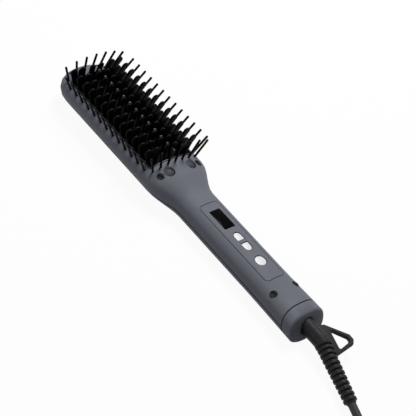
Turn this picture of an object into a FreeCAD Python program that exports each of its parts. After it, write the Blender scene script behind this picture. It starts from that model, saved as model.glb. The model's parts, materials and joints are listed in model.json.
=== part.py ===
import FreeCAD, Part
import math
import os
import re

from FreeCAD import Placement, Rotation, Vector
import Sketcher

# Hair straightening brush: a hollow two-part casing, a heated comb plate ringed by cool nylon pins,
# a control panel with display and keys, and a cord outlet that swivels in the end of the handle.
# Millimetres. +Y runs from the handle to the head tip, +Z is the bristle side, and the brush lies
# on its back at Z = 0, with the middle of its length at Y = 0.

doc = FreeCAD.newDocument("StraighteningBrush")

# ---------------------------------------------------------------- driving dimensions
SIZES = [
    # outer form
    ("head_mid", 75.5, "Y of the middle of the pin field"),
    ("head_half_width", 29.0, "half width of the head"),
    ("head_rim_height", 17.5, "height of the head's widest line"),
    ("head_crown", 27.7, "height of the head's crowned top"),
    ("tip_start", 125.0, "Y where the head's tip begins to round off"),
    ("tip_length", 21.5, "length of the rounded tip"),
    ("neck_top", 16.0, "Y where the head begins to narrow"),
    ("neck_bottom", -14.0, "Y where the head has become the handle"),
    ("handle_half_width", 17.7, "half width of the handle"),
    ("handle_height", 22.4, "height of the handle"),
    ("flare_start", -100.0, "Y where the handle begins to flare"),
    ("flare", 1.3, "how much wider each side is at the end of the handle"),
    ("casing_end", -134.5, "Y where the casings stop and the end cap begins"),
    ("handle_end", -146.5, "Y of the end face"),
    ("wall", 2.2, "wall of the casings"),
    ("rest_flat", 0.3, "depth of the flat strip that the back rests on"),
    ("parting", 9.5, "height of the joint between the two casings"),
    # pin field
    ("pin_pitch", 8.2, "spacing of the pin rows along the head"),
    ("side_pin_count", 13, "pins along each side"),
    ("end_pin_count", 7, "pins along each end"),
    ("side_pin_x", 26.0, "X of the side pins at the casing"),
    ("end_pin_x", 22.2, "X of the outermost end pins"),
    ("near_pin_y", 20.7, "Y of the end pins next to the handle"),
    ("far_pin_y", 133.1, "Y of the end pins at the tip"),
    ("pin_radius", 0.75, "radius of a frame pin"),
    ("pin_length", 18.4, "length of a frame pin above the casing"),
    ("pin_anchor", 3.4, "length of a frame pin below the casing's surface"),
    ("side_lean", 32.6, "outward lean of the side pins, degrees"),
    ("corner_lean", 25.6, "outward lean of the outermost end pins, degrees"),
    ("pin_gap", 0.25, "clearance of a pin in its hole"),
    ("ring_thickness", 1.8, "thickness of the ring that carries the pins"),
    # heated bed
    ("bed_half_width", 22.9, "half width of the opening for the bed"),
    ("bed_near", 23.6, "Y of the opening's end next to the handle"),
    ("bed_far", 131.2, "Y of the opening's end at the tip"),
    ("bed_corner", 2.4, "corner radius of the opening"),
    ("bezel_wall", 0.9, "wall of the bezel round the bed"),
    ("bezel_proud", 0.7, "height of the bezel's lip above the casing"),
    ("ledge", 1.6, "width of the bezel's inner ledge"),
    ("fit_gap", 0.1, "clearance between pieces that are assembled together"),
    ("plate_top", 20.5, "height of the comb plate's top face"),
    ("plate_thickness", 3.0, "thickness of the comb plate"),
    ("fin_rows", 13, "rows of fins"),
    ("fin_far", 128.8, "Y of the row of fins at the tip"),
    ("fin_thickness", 1.6, "thickness of a fin"),
    ("inner_root_x", 3.4, "X of an inner fin's foot"),
    ("inner_root_half", 2.2, "half width of an inner fin's foot"),
    ("inner_top_x", 4.3, "X of the middle of an inner fin's arch"),
    ("inner_top_z", 35.7, "height of the middle of an inner fin's arch"),
    ("inner_top_half", 2.8, "radius of an inner fin's arch"),
    ("middle_root_x", 12.2, "X of a middle fin's foot"),
    ("middle_root_half", 2.6, "half width of a middle fin's foot"),
    ("middle_top_x", 15.3, "X of the middle of a middle fin's arch"),
    ("middle_top_z", 35.4, "height of the middle of a middle fin's arch"),
    ("middle_top_half", 3.6, "radius of a middle fin's arch"),
    ("outer_root_x", 17.5, "X of an outer fin's foot"),
    ("outer_root_half", 2.2, "half width of an outer fin's foot"),
    ("outer_top_x", 23.7, "X of the middle of an outer fin's arch"),
    ("outer_top_z", 35.9, "height of the middle of an outer fin's arch"),
    ("outer_top_half", 3.3, "radius of an outer fin's arch"),
    ("ball_far", 124.7, "Y of the ball-tipped pin nearest the tip"),
    ("ball_radius", 1.15, "radius of the ball on a centre pin"),
    ("ball_height", 34.6, "height of the middle of the balls"),
    ("ball_shaft", 0.65, "radius of a centre pin's shaft"),
    # control panel
    ("panel_half_width", 9.7, "half width of the control panel"),
    ("panel_far", -23.5, "Y of the panel's end next to the head"),
    ("panel_near", -106.0, "Y of the panel's end next to the cord"),
    ("panel_corner", 3.0, "corner radius of the panel"),
    ("panel_floor", 19.0, "height of the panel's underside"),
    ("panel_ledge", 2.0, "width of the ledge under the panel's edge"),
    ("panel_gap", 0.12, "seam round the panel"),
    ("window_half_width", 5.6, "half width of the display window"),
    ("window_far", -31.2, "Y of the window's end next to the head"),
    ("window_near", -51.1, "Y of the window's other end"),
    ("window_floor", 20.8, "height of the window's underside"),
    ("key_half_width", 3.4, "half width of the two temperature keys"),
    ("key_length", 7.8, "length of a temperature key"),
    ("up_key_y", -60.7, "Y of the middle of the upper temperature key"),
    ("down_key_y", -71.8, "Y of the middle of the lower temperature key"),
    ("power_key_y", -87.6, "Y of the middle of the power key"),
    ("power_key_radius", 4.7, "radius of the power key"),
    ("key_proud", 0.8, "height of the keys above the panel"),
    ("key_gap", 0.1, "clearance round a key"),
    ("key_flange", 0.9, "width of the flange that keeps a key in"),
    ("key_travel", 0.5, "travel of a key"),
    # boards
    ("board_top", 15.0, "height of the control board's top face"),
    ("board_thickness", 1.6, "thickness of both boards"),
    ("board_half_width", 13.6, "half width of the control board"),
    ("board_far", -25.0, "Y of the control board's end next to the head"),
    ("board_near", -104.0, "Y of the control board's other end"),
    ("power_board_top", 6.8, "height of the power board's top face"),
    ("power_board_half_width", 12.0, "half width of the power board"),
    ("power_board_far", -22.0, "Y of the power board's end next to the head"),
    ("power_board_near", -100.0, "Y of the power board's other end"),
    # screws
    ("screw_radius", 1.5, "radius of a casing screw"),
    ("screw_head_radius", 2.9, "radius of a casing screw's head"),
    ("screw_head_height", 2.0, "height of a casing screw's head"),
    ("screw_gap", 0.03, "clearance of a screw in its hole"),
    ("post_radius", 4.2, "radius of the casings' screw posts"),
    ("tip_screw_x", 13.8, "X of the screws at the tip"),
    ("tip_screw_y", 138.3, "Y of the screws at the tip"),
    ("base_screw_x", 20.0, "X of the screws at the head's base"),
    ("base_screw_y", 13.6, "Y of the screws at the head's base"),
    ("tail_screw_x", 12.0, "X of the screws at the end of the handle"),
    ("tail_screw_y", -116.8, "Y of the screws at the end of the handle"),
    ("dimple_x", 11.3, "X of the shallow recesses at the head's base"),
    ("dimple_y", 13.8, "Y of the shallow recesses"),
    # cord outlet
    ("outlet_height", 11.2, "height of the swivel's axis"),
    ("neck_radius", 6.4, "radius of the outlet's neck"),
    ("neck_gap", 0.7, "gap round the neck in the end face"),
    ("spindle_radius", 4.5, "radius of the outlet's spindle"),
    ("swivel_gap", 0.06, "radial clearance of the spindle in its bush"),
    ("bush_radius", 8.4, "outer radius of the swivel bush"),
    ("bush_length", 7.0, "length of the swivel bush"),
    ("bush_near", -129.0, "Y of the bush's outer end"),
    ("flange_radius", 6.6, "radius of the spindle's retaining flange"),
    ("flange_thickness", 2.0, "thickness of the retaining flange"),
    ("knee_y", -164.0, "Y where the sleeve bends away from the axis"),
    ("sleeve_turn", 16.6, "sideways turn of the sleeve, degrees"),
    ("sleeve_droop", 5.0, "droop of the sleeve, degrees"),
    ("sleeve_length", 54.0, "length of the ribbed sleeve"),
    ("sleeve_start", 6.3, "radius of the sleeve's ribs at the neck"),
    ("sleeve_finish", 5.2, "radius of the sleeve's ribs at the cord"),
    ("sleeve_ribs", 11, "number of ribs"),
    ("loop_rod", 1.85, "radius of the hanging loop's rod"),
    ("cord_radius", 3.25, "radius of the mains cord"),
]

sheet = doc.addObject("Spreadsheet::Sheet", "Sizes")
for row, (alias, value, note) in enumerate(SIZES, start=1):
    sheet.set(f"A{row}", note)
    sheet.set(f"B{row}", str(value))
    sheet.setAlias(f"B{row}", alias)
doc.recompute()

ALIASES = {alias for alias, _, _ in SIZES}


def size(alias):
    """The value of a named size, for code that needs the number itself."""
    return float(sheet.get(alias))


def formula(text):
    """Turn 'wall + fit_gap' into an expression that reads the sheet."""
    return re.sub(r"[a-z_]+", lambda m: f"Sizes.{m.group(0)}" if m.group(0) in ALIASES else m.group(0),
                  str(text))


def bind(obj, **properties):
    """Bind properties of an object to formulas; 'at' is its position."""
    for name, text in properties.items():
        if name == "at":
            for axis, part in zip("xyz", text):
                obj.setExpression(f"Placement.Base.{axis}", formula(part))
        else:
            obj.setExpression(name, formula(text))
    return obj


# ---------------------------------------------------------------- primitives and booleans
def box(name, low, high):
    """A box between two corners, each a triple of formulas."""
    obj = doc.addObject("Part::Box", name)
    spans = [f"({h}) - ({l})" for l, h in zip(low, high)]
    return bind(obj, Length=spans[0], Width=spans[1], Height=spans[2], at=low)


def upright(name, radius, x, y, low, high):
    """A cylinder that stands along Z."""
    obj = doc.addObject("Part::Cylinder", name)
    return bind(obj, Radius=radius, Height=f"({high}) - ({low})", at=(x, y, low))


def along_y(name, radius, x, z, near, far):
    """A cylinder that lies along Y, from near up to far."""
    obj = doc.addObject("Part::Cylinder", name)
    obj.Placement.Rotation = Rotation(Vector(1, 0, 0), -90)
    return bind(obj, Radius=radius, Height=f"({far}) - ({near})", at=(x, near, z))


def along_x(name, radius, y, z, left, right):
    """A cylinder that lies along X."""
    obj = doc.addObject("Part::Cylinder", name)
    obj.Placement.Rotation = Rotation(Vector(0, 1, 0), 90)
    return bind(obj, Radius=radius, Height=f"({right}) - ({left})", at=(left, y, z))


def fuse(name, *pieces):
    obj = doc.addObject("Part::MultiFuse", name)
    obj.Shapes = list(pieces)
    obj.Refine = False
    return obj


def cut(name, base, *tools):
    obj = doc.addObject("Part::Cut", name)
    obj.Base = base
    obj.Tool = tools[0] if len(tools) == 1 else fuse(f"{name}_tools", *tools)
    obj.Refine = False
    return obj


def common(name, first, second):
    obj = doc.addObject("Part::MultiCommon", name)
    obj.Shapes = [first, second]
    obj.Refine = False
    return obj


def group(name, *pieces):
    """Separate solids that share one node."""
    obj = doc.addObject("Part::Compound", name)
    obj.Links = list(pieces)
    return obj


def plain(name, shape):
    """A feature whose shape is worked out from the sheet's values in this file."""
    obj = doc.addObject("Part::Feature", name)
    obj.Shape = shape
    return obj


def rounded_block(name, half_width, near, far, corner, low, high):
    """A block with four upright rounded edges, centred on X = 0: a padded sketch in its own body."""
    body = doc.addObject("PartDesign::Body", name)
    sketch = new_sketch(body, "XY_Plane", low)
    width, length, radius = 20.0, 40.0, 2.0
    left, right, bottom, top = -width, width, 0.0, length
    sides = ((left + radius, bottom, right - radius, bottom), (right, bottom + radius, right, top - radius),
             (right - radius, top, left + radius, top), (left, top - radius, left, bottom + radius))
    for x0, y0, x1, y1 in sides:
        sketch.addGeometry(Part.LineSegment(Vector(x0, y0, 0), Vector(x1, y1, 0)))
    centres = ((right - radius, bottom + radius, -90), (right - radius, top - radius, 0),
               (left + radius, top - radius, 90), (left + radius, bottom + radius, 180))
    for x, y, start in centres:
        circle = Part.Circle(Vector(x, y, 0), Vector(0, 0, 1), radius)
        sketch.addGeometry(Part.ArcOfCircle(circle, math.radians(start), math.radians(start + 90)))
    for line in range(4):
        arc = 4 + line
        sketch.addConstraint(Sketcher.Constraint("Tangent", line, 2, arc, 1))
        sketch.addConstraint(Sketcher.Constraint("Tangent", arc, 2, (line + 1) % 4, 1))
    for arc in (5, 6, 7):
        sketch.addConstraint(Sketcher.Constraint("Equal", 4, arc))
    sketch.addConstraint(Sketcher.Constraint("Horizontal", 0))
    sketch.addConstraint(Sketcher.Constraint("Vertical", 1))
    sketch.addConstraint(Sketcher.Constraint("Horizontal", 2))
    sketch.addConstraint(Sketcher.Constraint("Vertical", 3))
    constrain(sketch, "right", half_width, "DistanceX", 1, 1, right)
    constrain(sketch, "left", f"-({half_width})", "DistanceX", 3, 1, left)
    constrain(sketch, "near", near, "DistanceY", 0, 1, bottom)
    constrain(sketch, "far", far, "DistanceY", 2, 1, top)
    constrain(sketch, "corner", corner, "Radius", 4, radius)
    pad = body.newObject("PartDesign::Pad", f"{name}_pad")
    pad.Profile = sketch
    bind(pad, Length=f"({high}) - ({low})")
    body.Tip = pad
    return body


def new_sketch(body, role, height="0"):
    """A sketch on one of the body's own planes, moved along the plane's normal."""
    sketch = body.newObject("Sketcher::SketchObject", f"{body.Name}_sketch")
    plane = next(item for item in body.Origin.OriginFeatures if item.Role == role)
    sketch.AttachmentSupport = (plane, [""])
    sketch.MapMode = "FlatFace"
    sketch.setExpression("AttachmentOffset.Base.z", formula(height))
    return sketch


def constrain(sketch, label, text, kind, *reference):
    """A dimension of the sketch, drawn at a first value and then bound to a formula."""
    index = sketch.addConstraint(Sketcher.Constraint(kind, *reference))
    sketch.renameConstraint(index, label)
    sketch.setExpression(f"Constraints.{label}", formula(text))


def origin_axis(body, role):
    return next(item for item in body.Origin.OriginFeatures if item.Role == role)


RUN_SHARE = 0.45


def is_upright(edge):
    return abs(edge.tangentAt(edge.FirstParameter).z) > 0.9


def is_level(edge):
    return abs(edge.tangentAt(edge.FirstParameter).z) < 0.1


def mitred_tube(route, radius):
    """A round tube along straight runs with mitred corners."""
    ring = Part.Wire([Part.makeCircle(radius, route[0], (route[1] - route[0]).normalize())])
    return Part.makePolygon(route).makePipeShell([ring], True, False, 1)


def bent_tube(name, route, radius):
    """A round tube along straight runs joined by tangent arcs, each as large as its two runs allow."""
    edges, here, length = [], route[0], 0.0
    for before, corner, after in zip(route, route[1:], route[2:]):
        arriving, leaving = (corner - before).normalize(), (after - corner).normalize()
        half_turn = arriving.getAngle(leaving) / 2
        trim = RUN_SHARE * min((corner - before).Length, (after - corner).Length)
        bend = trim / math.tan(half_turn)
        start, finish = corner - arriving * trim, corner + leaving * trim
        inward = (leaving - arriving).normalize()
        middle = corner + inward * (bend / math.cos(half_turn) - bend)
        edges.append(Part.LineSegment(here, start).toShape())
        edges.append(Part.Arc(start, middle, finish).toShape())
        length += (start - here).Length + bend * 2 * half_turn
        here = finish
        print(f"{name}: bend radius {bend:.1f} mm")
    edges.append(Part.LineSegment(here, route[-1]).toShape())
    length += (route[-1] - here).Length
    ring = Part.Wire([Part.makeCircle(radius, route[0], (route[1] - route[0]).normalize())])
    tube = Part.Wire(edges).makePipeShell([ring], True, False)
    share = tube.Volume / (math.pi * radius ** 2 * length)
    print(f"{name}: length {length:.1f} mm, volume over section times length {share:.4f}")
    return tube


# ---------------------------------------------------------------- outer form
# One smooth form gives the casings, the end cap, the panel and the bezel their outer faces. Each
# station across the length is a superellipse: half width, top, widest line, bottom and two exponents.
# Outer faces follow it with arcs; the hidden inner faces are flat panels between the same stations.
HEAD_TOP_POWER = 2.0
HEAD_BACK_POWER = 2.2
HANDLE_POWER = 2.5
TIP_POWER = 2.3
ARCS_ROUND = 16
PANELS_ROUND = 16
OUTER_STEPS = {"flare": 2, "neck": 6, "tip": (0.0, 0.3, 0.55, 0.75, 0.89, 0.965, 0.996)}
INNER_STEPS = {"flare": 1, "neck": 3, "tip": (0.0, 0.45, 0.8, 0.97)}
END_ROUND = ((0.0, 1.8), (0.5, 0.75), (1.7, 0.0))


def smooth(value, start, finish):
    """0 before start, 1 after finish, an S curve between them."""
    share = min(1.0, max(0.0, (value - start) / (finish - start)))
    return share * share * (3.0 - 2.0 * share)


def section(y, inset):
    """Half width, top, widest height, bottom and the two exponents at y, all faces moved in by inset."""
    narrowing = smooth(-y, -size("neck_top"), -size("neck_bottom"))
    flaring = smooth(-y, -size("flare_start"), -size("handle_end"))

    def blend(head, handle):
        return head + (handle - head) * narrowing

    half = blend(size("head_half_width"), size("handle_half_width")) + size("flare") * flaring
    top = blend(size("head_crown"), size("handle_height"))
    rim = blend(size("head_rim_height"), size("handle_height") / 2)
    bottom = -size("rest_flat")
    half, top, bottom = half - inset, top - inset, bottom + inset
    run = (y - size("tip_start")) / (size("tip_length") - inset)
    if run > 0:
        shrink = (1.0 - min(run, 0.9999) ** TIP_POWER) ** (1.0 / TIP_POWER)
        half, top, bottom = half * shrink, rim + (top - rim) * shrink, rim + (bottom - rim) * shrink
    return half, top, rim, bottom, blend(HEAD_TOP_POWER, HANDLE_POWER), blend(HEAD_BACK_POWER, HANDLE_POWER)


def outline_points(y, inset, count):
    """Points round the section at y, the first half a step before the right-hand side."""
    half, top, rim, bottom, upper, lower = section(y, inset)
    for index in range(count):
        turn = 2 * math.pi * (index - 1) / count
        cosine, sine = math.cos(turn), math.sin(turn)
        power = upper if sine >= 0 else lower
        reach = (top - rim) if sine >= 0 else (rim - bottom)
        x = half * math.copysign(abs(cosine) ** (2 / power), cosine)
        yield Vector(x, y, rim + reach * math.copysign(abs(sine) ** (2 / power), sine))


def arc_outline(y, inset):
    """The closed outline at y as arcs that run into one another."""
    points = list(outline_points(y, inset, 2 * ARCS_ROUND))
    points.append(points[0])
    return Part.Wire([Part.Arc(*points[start:start + 3]).toShape()
                      for start in range(0, 2 * ARCS_ROUND, 2)])


def panel_outline(y, inset):
    """The closed outline at y as straight panels."""
    points = list(outline_points(y, inset, 2 * PANELS_ROUND))[::2]
    return Part.makePolygon(points + points[:1])


def steps(start, finish, count):
    return [start + (finish - start) * step / count for step in range(count + 1)]


def loft(outline, places, inset):
    return Part.makeLoft([outline(y, inset) for y in places], True, True)


def form(inset, near, outline, detail):
    """The form as a solid, its faces moved in by inset and its handle end cut square at near."""
    head_start, head_end = size("neck_top"), size("tip_start")
    tip = [head_end + share * (size("tip_length") - inset) for share in detail["tip"]]
    flare = loft(outline, steps(near, size("flare_start"), detail["flare"]), inset)
    handle = loft(outline, (size("flare_start"), size("neck_bottom")), inset)
    neck = loft(outline, steps(size("neck_bottom"), head_start, detail["neck"]), inset)
    head = loft(outline, (head_start, head_end), inset)
    return flare.fuse([handle, neck, head, loft(outline, tip, inset)]).Solids[0]


def outer_form(inset, near):
    return form(inset, near, arc_outline, OUTER_STEPS)


def inner_form(inset, near):
    return form(inset, near, panel_outline, INNER_STEPS)


WALL = size("wall")
CASING_END = size("casing_end")
FAR_OUT = 160.0
HIGH_UP = 60.0
skin = plain("form_skin", outer_form(0.0, CASING_END))
hollow = plain("form_hollow", inner_form(WALL, CASING_END - 1.0))

# ---------------------------------------------------------------- screws that hold the casings
SCREWS = [  # X, Y, height of the head's seat, height of the screw's point
    ("tip", "tip_screw_x", "tip_screw_y", 19.5, 7.6),
    ("base", "base_screw_x", "base_screw_y", 21.2, 6.8),
    ("tail", "tail_screw_x", "tail_screw_y", 17.6, 4.0),
]
RECESS_GAP = 0.15
POINT_GAP = 0.3
CROSS_WIDTH, CROSS_REACH, CROSS_DEPTH = 0.7, 1.9, 1.0


def screw_places():
    """Each screw with its signed X formula, its Y and its two heights."""
    for place, x, y, seat, point in SCREWS:
        for side, sign in (("left", "-"), ("right", "")):
            yield f"{place}_{side}", f"{sign}{x}", y, seat, point


def casing_screw(label, x, y, seat, point):
    shank = upright(f"shank_{label}", "screw_radius", x, y, f"{point}", f"{seat} + 0.2")
    head = upright(f"head_{label}", "screw_head_radius", x, y, f"{seat}", f"{seat} + screw_head_height")
    top = f"{seat} + screw_head_height"
    cross = [
        box(f"slot_{label}_{turn}", (f"{x} - {dx}", f"{y} - {dy}", f"{top} - {CROSS_DEPTH}"),
            (f"{x} + {dx}", f"{y} + {dy}", f"{top} + 1"))
        for turn, dx, dy in (("a", CROSS_WIDTH / 2, CROSS_REACH), ("b", CROSS_REACH, CROSS_WIDTH / 2))
    ]
    return cut(f"screw_{label}", fuse(f"turned_{label}", shank, head), *cross)


casing_screws = group("casing_screws", *[casing_screw(*place) for place in screw_places()])


def screw_posts(low, high, prefix):
    return [upright(f"{prefix}_post_{label}", "post_radius", x, y, low, high)
            for label, x, y, _, _ in screw_places()]


def screw_holes(prefix):
    """Holes for the shanks, and the recesses that their heads lie in."""
    tools = []
    for label, x, y, seat, point in screw_places():
        tools.append(upright(f"{prefix}_hole_{label}", "screw_radius + screw_gap", x, y,
                             f"{point} - {POINT_GAP}", f"{seat} + 1"))
        tools.append(upright(f"{prefix}_recess_{label}", f"screw_head_radius + {RECESS_GAP}", x, y,
                             f"{seat}", HIGH_UP))
    return tools


# ---------------------------------------------------------------- pin frame
TIP_TAPER, TIP_BLUNT = 0.9, 0.5
SOCKET_GAP = 0.02


def side_roots():
    """Root point and direction of each pin along the two sides."""
    lean = math.radians(size("side_lean"))
    rim = size("head_rim_height")
    rise = size("head_crown") - rim
    root_z = rim + rise * math.sqrt(1 - (size("side_pin_x") / size("head_half_width")) ** 2)
    for row in range(int(size("side_pin_count"))):
        y = size("ball_far") - row * size("pin_pitch")
        for side in (-1, 1):
            root = Vector(side * size("side_pin_x"), y, root_z)
            yield root, Vector(side * math.sin(lean), 0, math.cos(lean))


def end_roots():
    """Root point and direction of each pin in the two rows across the head."""
    count = int(size("end_pin_count"))
    for y in (size("near_pin_y"), size("far_pin_y")):
        half, top, rim, _, _, _ = section(y, 0.0)
        for place in range(count):
            share = 2 * place / (count - 1) - 1
            x = share * size("end_pin_x")
            lean = math.radians(share * size("corner_lean"))
            z = rim + (top - rim) * math.sqrt(1 - (x / half) ** 2)
            yield Vector(x, y, z), Vector(math.sin(lean), 0, math.cos(lean))


def pin(root, way, radius, below, above):
    """A pin from below its root to its blunt, tapered tip."""
    tip = TIP_TAPER * radius
    shaft = Part.makeCylinder(radius, below + above - tip, root - way * below, way)
    return shaft.fuse(Part.makeCone(radius, radius * TIP_BLUNT, tip, root + way * (above - tip), way))


def pin_set(roots):
    return Part.makeCompound([pin(root, way, size("pin_radius"), size("pin_anchor"), size("pin_length"))
                              for root, way in roots])


def pin_bores(gap, below, above):
    """A bore round every pin, from below its root to above it."""
    return [Part.makeCylinder(size("pin_radius") + gap, below + above, root - way * below, way)
            for root, way in PINS]


PINS = list(side_roots()) + list(end_roots())
RING_OUT_X = size("side_pin_x") + 2.0
RING_IN_X = size("bed_half_width") + 0.7
RING_NEAR = size("near_pin_y") - 2.6
RING_FAR = size("far_pin_y") + 0.85
RING_BED_NEAR = size("bed_near") - 0.7
RING_BED_FAR = size("bed_far") + 0.6
RING_LOW = size("head_rim_height")


def pin_frame_shape():
    """The ring that follows the underside of the casing, with a socket for the foot of every pin."""
    under = WALL + size("fit_gap") / 2
    outer = Part.makeBox(2 * RING_OUT_X, RING_FAR - RING_NEAR, HIGH_UP,
                         Vector(-RING_OUT_X, RING_NEAR, RING_LOW))
    inner = Part.makeBox(2 * RING_IN_X, RING_BED_FAR - RING_BED_NEAR, 2 * HIGH_UP,
                         Vector(-RING_IN_X, RING_BED_NEAR, -1))
    ring = outer.cut(inner).common(inner_form(under, CASING_END))
    ring = ring.cut(inner_form(under + size("ring_thickness"), CASING_END))
    return ring.cut(pin_bores(SOCKET_GAP, size("pin_anchor"), WALL)).Solids[0]


pin_frame = plain("pin_frame", pin_frame_shape())
side_pins = plain("side_pins", pin_set(side_roots()))
end_pins = plain("end_pins", pin_set(end_roots()))
pin_holes = plain("pin_holes", Part.makeCompound(pin_bores(size("pin_gap"), 2 * WALL, WALL)))

# ---------------------------------------------------------------- bed bezel
BEZEL_LOW = "plate_top - plate_thickness - 1.5"


def bed_block(name, inward, low, high):
    """A block of the bed opening's plan, drawn in by a formula."""
    return rounded_block(name, f"bed_half_width - ({inward})", f"bed_near + ({inward})",
                         f"bed_far - ({inward})", f"max(bed_corner - ({inward}); 0.5)", low, high)


bezel_form = plain("bezel_form", outer_form(-size("bezel_proud"), CASING_END))
bezel_ring = cut(
    "bezel_ring",
    bed_block("bezel_outer", "fit_gap", BEZEL_LOW, str(HIGH_UP)),
    bed_block("bezel_inner", "fit_gap + bezel_wall", "plate_top - plate_thickness", str(HIGH_UP + 1)),
    bed_block("bezel_ledge_hole", "fit_gap + bezel_wall + ledge", f"{BEZEL_LOW} - 1", "plate_top"),
)
bed_bezel = common("bed_bezel", bezel_ring, bezel_form)

# ---------------------------------------------------------------- comb plate
STRIP_HALF, STRIP_HEIGHT = 1.7, 1.2
STRIP_GAP = 0.05
BALL_BORE_GAP = 0.05
FIN_KINDS = ("inner", "middle", "outer")
BOSS_X, BOSS_REACH, BOSS_RADIUS = 11.0, 30.0, 2.4
CLAMP_SCREW, CLAMP_SCREW_GAP = 0.9, 0.03


def draw_fin(sketch, label, side, kind):
    """One leaning fin: foot, two straight sides and a round top that they run into."""
    sign = "-" if side < 0 else ""
    root, half = side * size(f"{kind}_root_x"), size(f"{kind}_root_half")
    top_x, top_z, radius = side * size(f"{kind}_top_x"), size(f"{kind}_top_z"), size(f"{kind}_top_half")
    low = size("plate_top")
    base = sketch.addGeometry(Part.LineSegment(Vector(root - half, low, 0), Vector(root + half, low, 0)))
    right = sketch.addGeometry(Part.LineSegment(Vector(root + half, low, 0),
                                                Vector(top_x + radius, top_z, 0)))
    circle = Part.Circle(Vector(top_x, top_z, 0), Vector(0, 0, 1), radius)
    arch = sketch.addGeometry(Part.ArcOfCircle(circle, 0, math.pi))
    left = sketch.addGeometry(Part.LineSegment(Vector(top_x - radius, top_z, 0),
                                               Vector(root - half, low, 0)))
    sketch.addConstraint(Sketcher.Constraint("Coincident", base, 2, right, 1))
    sketch.addConstraint(Sketcher.Constraint("Tangent", right, 2, arch, 1))
    sketch.addConstraint(Sketcher.Constraint("Tangent", arch, 2, left, 1))
    sketch.addConstraint(Sketcher.Constraint("Coincident", left, 2, base, 1))
    sketch.addConstraint(Sketcher.Constraint("Horizontal", base))
    constrain(sketch, f"{label}_z", "plate_top", "DistanceY", base, 1, low)
    constrain(sketch, f"{label}_a", f"{sign}{kind}_root_x - {kind}_root_half", "DistanceX", base, 1,
              root - half)
    constrain(sketch, f"{label}_b", f"{sign}{kind}_root_x + {kind}_root_half", "DistanceX", base, 2,
              root + half)
    constrain(sketch, f"{label}_x", f"{sign}{kind}_top_x", "DistanceX", arch, 3, top_x)
    constrain(sketch, f"{label}_h", f"{kind}_top_z", "DistanceY", arch, 3, top_z)
    constrain(sketch, f"{label}_r", f"{kind}_top_half", "Radius", arch, radius)


PLATE_IN = "fit_gap + bezel_wall + fit_gap"
comb_body = bed_block("comb_body", PLATE_IN, "plate_top - plate_thickness", "plate_top")
comb_fins = doc.addObject("PartDesign::Body", "comb_fins")
comb_fins.AllowCompound = True
fin_sketch = new_sketch(comb_fins, "XZ_Plane", "-(fin_far)")
for fin_kind in FIN_KINDS:
    draw_fin(fin_sketch, f"{fin_kind}_left", -1, fin_kind)
    draw_fin(fin_sketch, f"{fin_kind}_right", 1, fin_kind)
fin_pad = comb_fins.newObject("PartDesign::Pad", "fin_pad")
fin_pad.Profile = fin_sketch
fin_pad.Midplane = True
bind(fin_pad, Length="fin_thickness")
fin_rows = comb_fins.newObject("PartDesign::LinearPattern", "fin_rows_pattern")
fin_rows.Originals = [fin_pad]
fin_rows.Direction = (origin_axis(comb_fins, "Y_Axis"), [""])
fin_rows.Reversed = True
bind(fin_rows, Length="pin_pitch * (fin_rows - 1)", Occurrences="fin_rows")
comb_fins.Tip = fin_rows
BALL_ROWS = int(size("side_pin_count"))


def ball_places():
    for row in range(BALL_ROWS):
        yield row, f"ball_far - {row} * pin_pitch"


strip_near = f"ball_far - {BALL_ROWS - 1} * pin_pitch - 0.9"
strip_far = "ball_far + 0.9"
strip_low = "plate_top - plate_thickness"
strip_top = f"{strip_low} + {STRIP_HEIGHT}"
strip_channel = box("strip_channel",
                    (f"-{STRIP_HALF + STRIP_GAP}", f"{strip_near} - {STRIP_GAP}", f"{strip_low} - 1"),
                    (f"{STRIP_HALF + STRIP_GAP}", f"{strip_far} + {STRIP_GAP}",
                     f"{strip_top} + {STRIP_GAP}"))
ball_bores = [upright(f"ball_bore_{row}", f"ball_shaft + {BALL_BORE_GAP}", "0", y, strip_low,
                      "plate_top + 1")
              for row, y in ball_places()]
BOSSES = [(f"{x}{y}", f"{x}{BOSS_X}", f"head_mid {y} {BOSS_REACH}") for x in "-+" for y in "-+"]
HEATER_THICKNESS = 3.2
clamp_top = f"{strip_low} - {HEATER_THICKNESS}"
CLAMP_THICKNESS = 1.2
plate_bosses = [upright(f"boss_{index}", f"{BOSS_RADIUS}", x, y, clamp_top, f"{strip_low} + 0.5")
                for index, (_, x, y) in enumerate(BOSSES)]
boss_holes = [upright(f"boss_hole_{index}", f"{CLAMP_SCREW + CLAMP_SCREW_GAP}", x, y, f"{clamp_top} - 1",
                      f"{strip_low} + 0.6")
              for index, (_, x, y) in enumerate(BOSSES)]
comb_plate = cut("comb_plate", fuse("comb_with_bosses", comb_body, *plate_bosses), strip_channel,
                 *ball_bores, *boss_holes)

# ---------------------------------------------------------------- ball-tipped pins on their strip
pin_strip = box("pin_strip", (f"-{STRIP_HALF}", strip_near, strip_low),
                (f"{STRIP_HALF}", strip_far, strip_top))
BALL_FLAT, BALL_CROWN, BALL_SHOULDER = 0.42, 0.5, 0.9


def ball_pin(y):
    """A thin shaft that ends in a ball, turned from one outline."""
    shaft, ball, middle = size("ball_shaft"), size("ball_radius"), size("ball_height")
    foot = size("plate_top") - size("plate_thickness") + STRIP_HEIGHT - 0.3
    belt, reach = ball * BALL_FLAT, math.sqrt(ball ** 2 - shaft ** 2)
    outline = ((0, foot), (shaft, foot), (shaft, middle - reach), (ball, middle - belt),
               (ball, middle + belt), (ball * BALL_CROWN, middle + ball * BALL_SHOULDER),
               (0, middle + ball))
    points = [Vector(x, y, z) for x, z in outline]
    return Part.Face(Part.makePolygon(points + points[:1])).revolve(Vector(0, y, 0), Vector(0, 0, 1), 360)


ball_pins = plain("ball_pins", Part.makeCompound(
    [ball_pin(size("ball_far") - row * size("pin_pitch")) for row in range(BALL_ROWS)]))
centre_pins = fuse("centre_pins", pin_strip, ball_pins)

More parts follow.
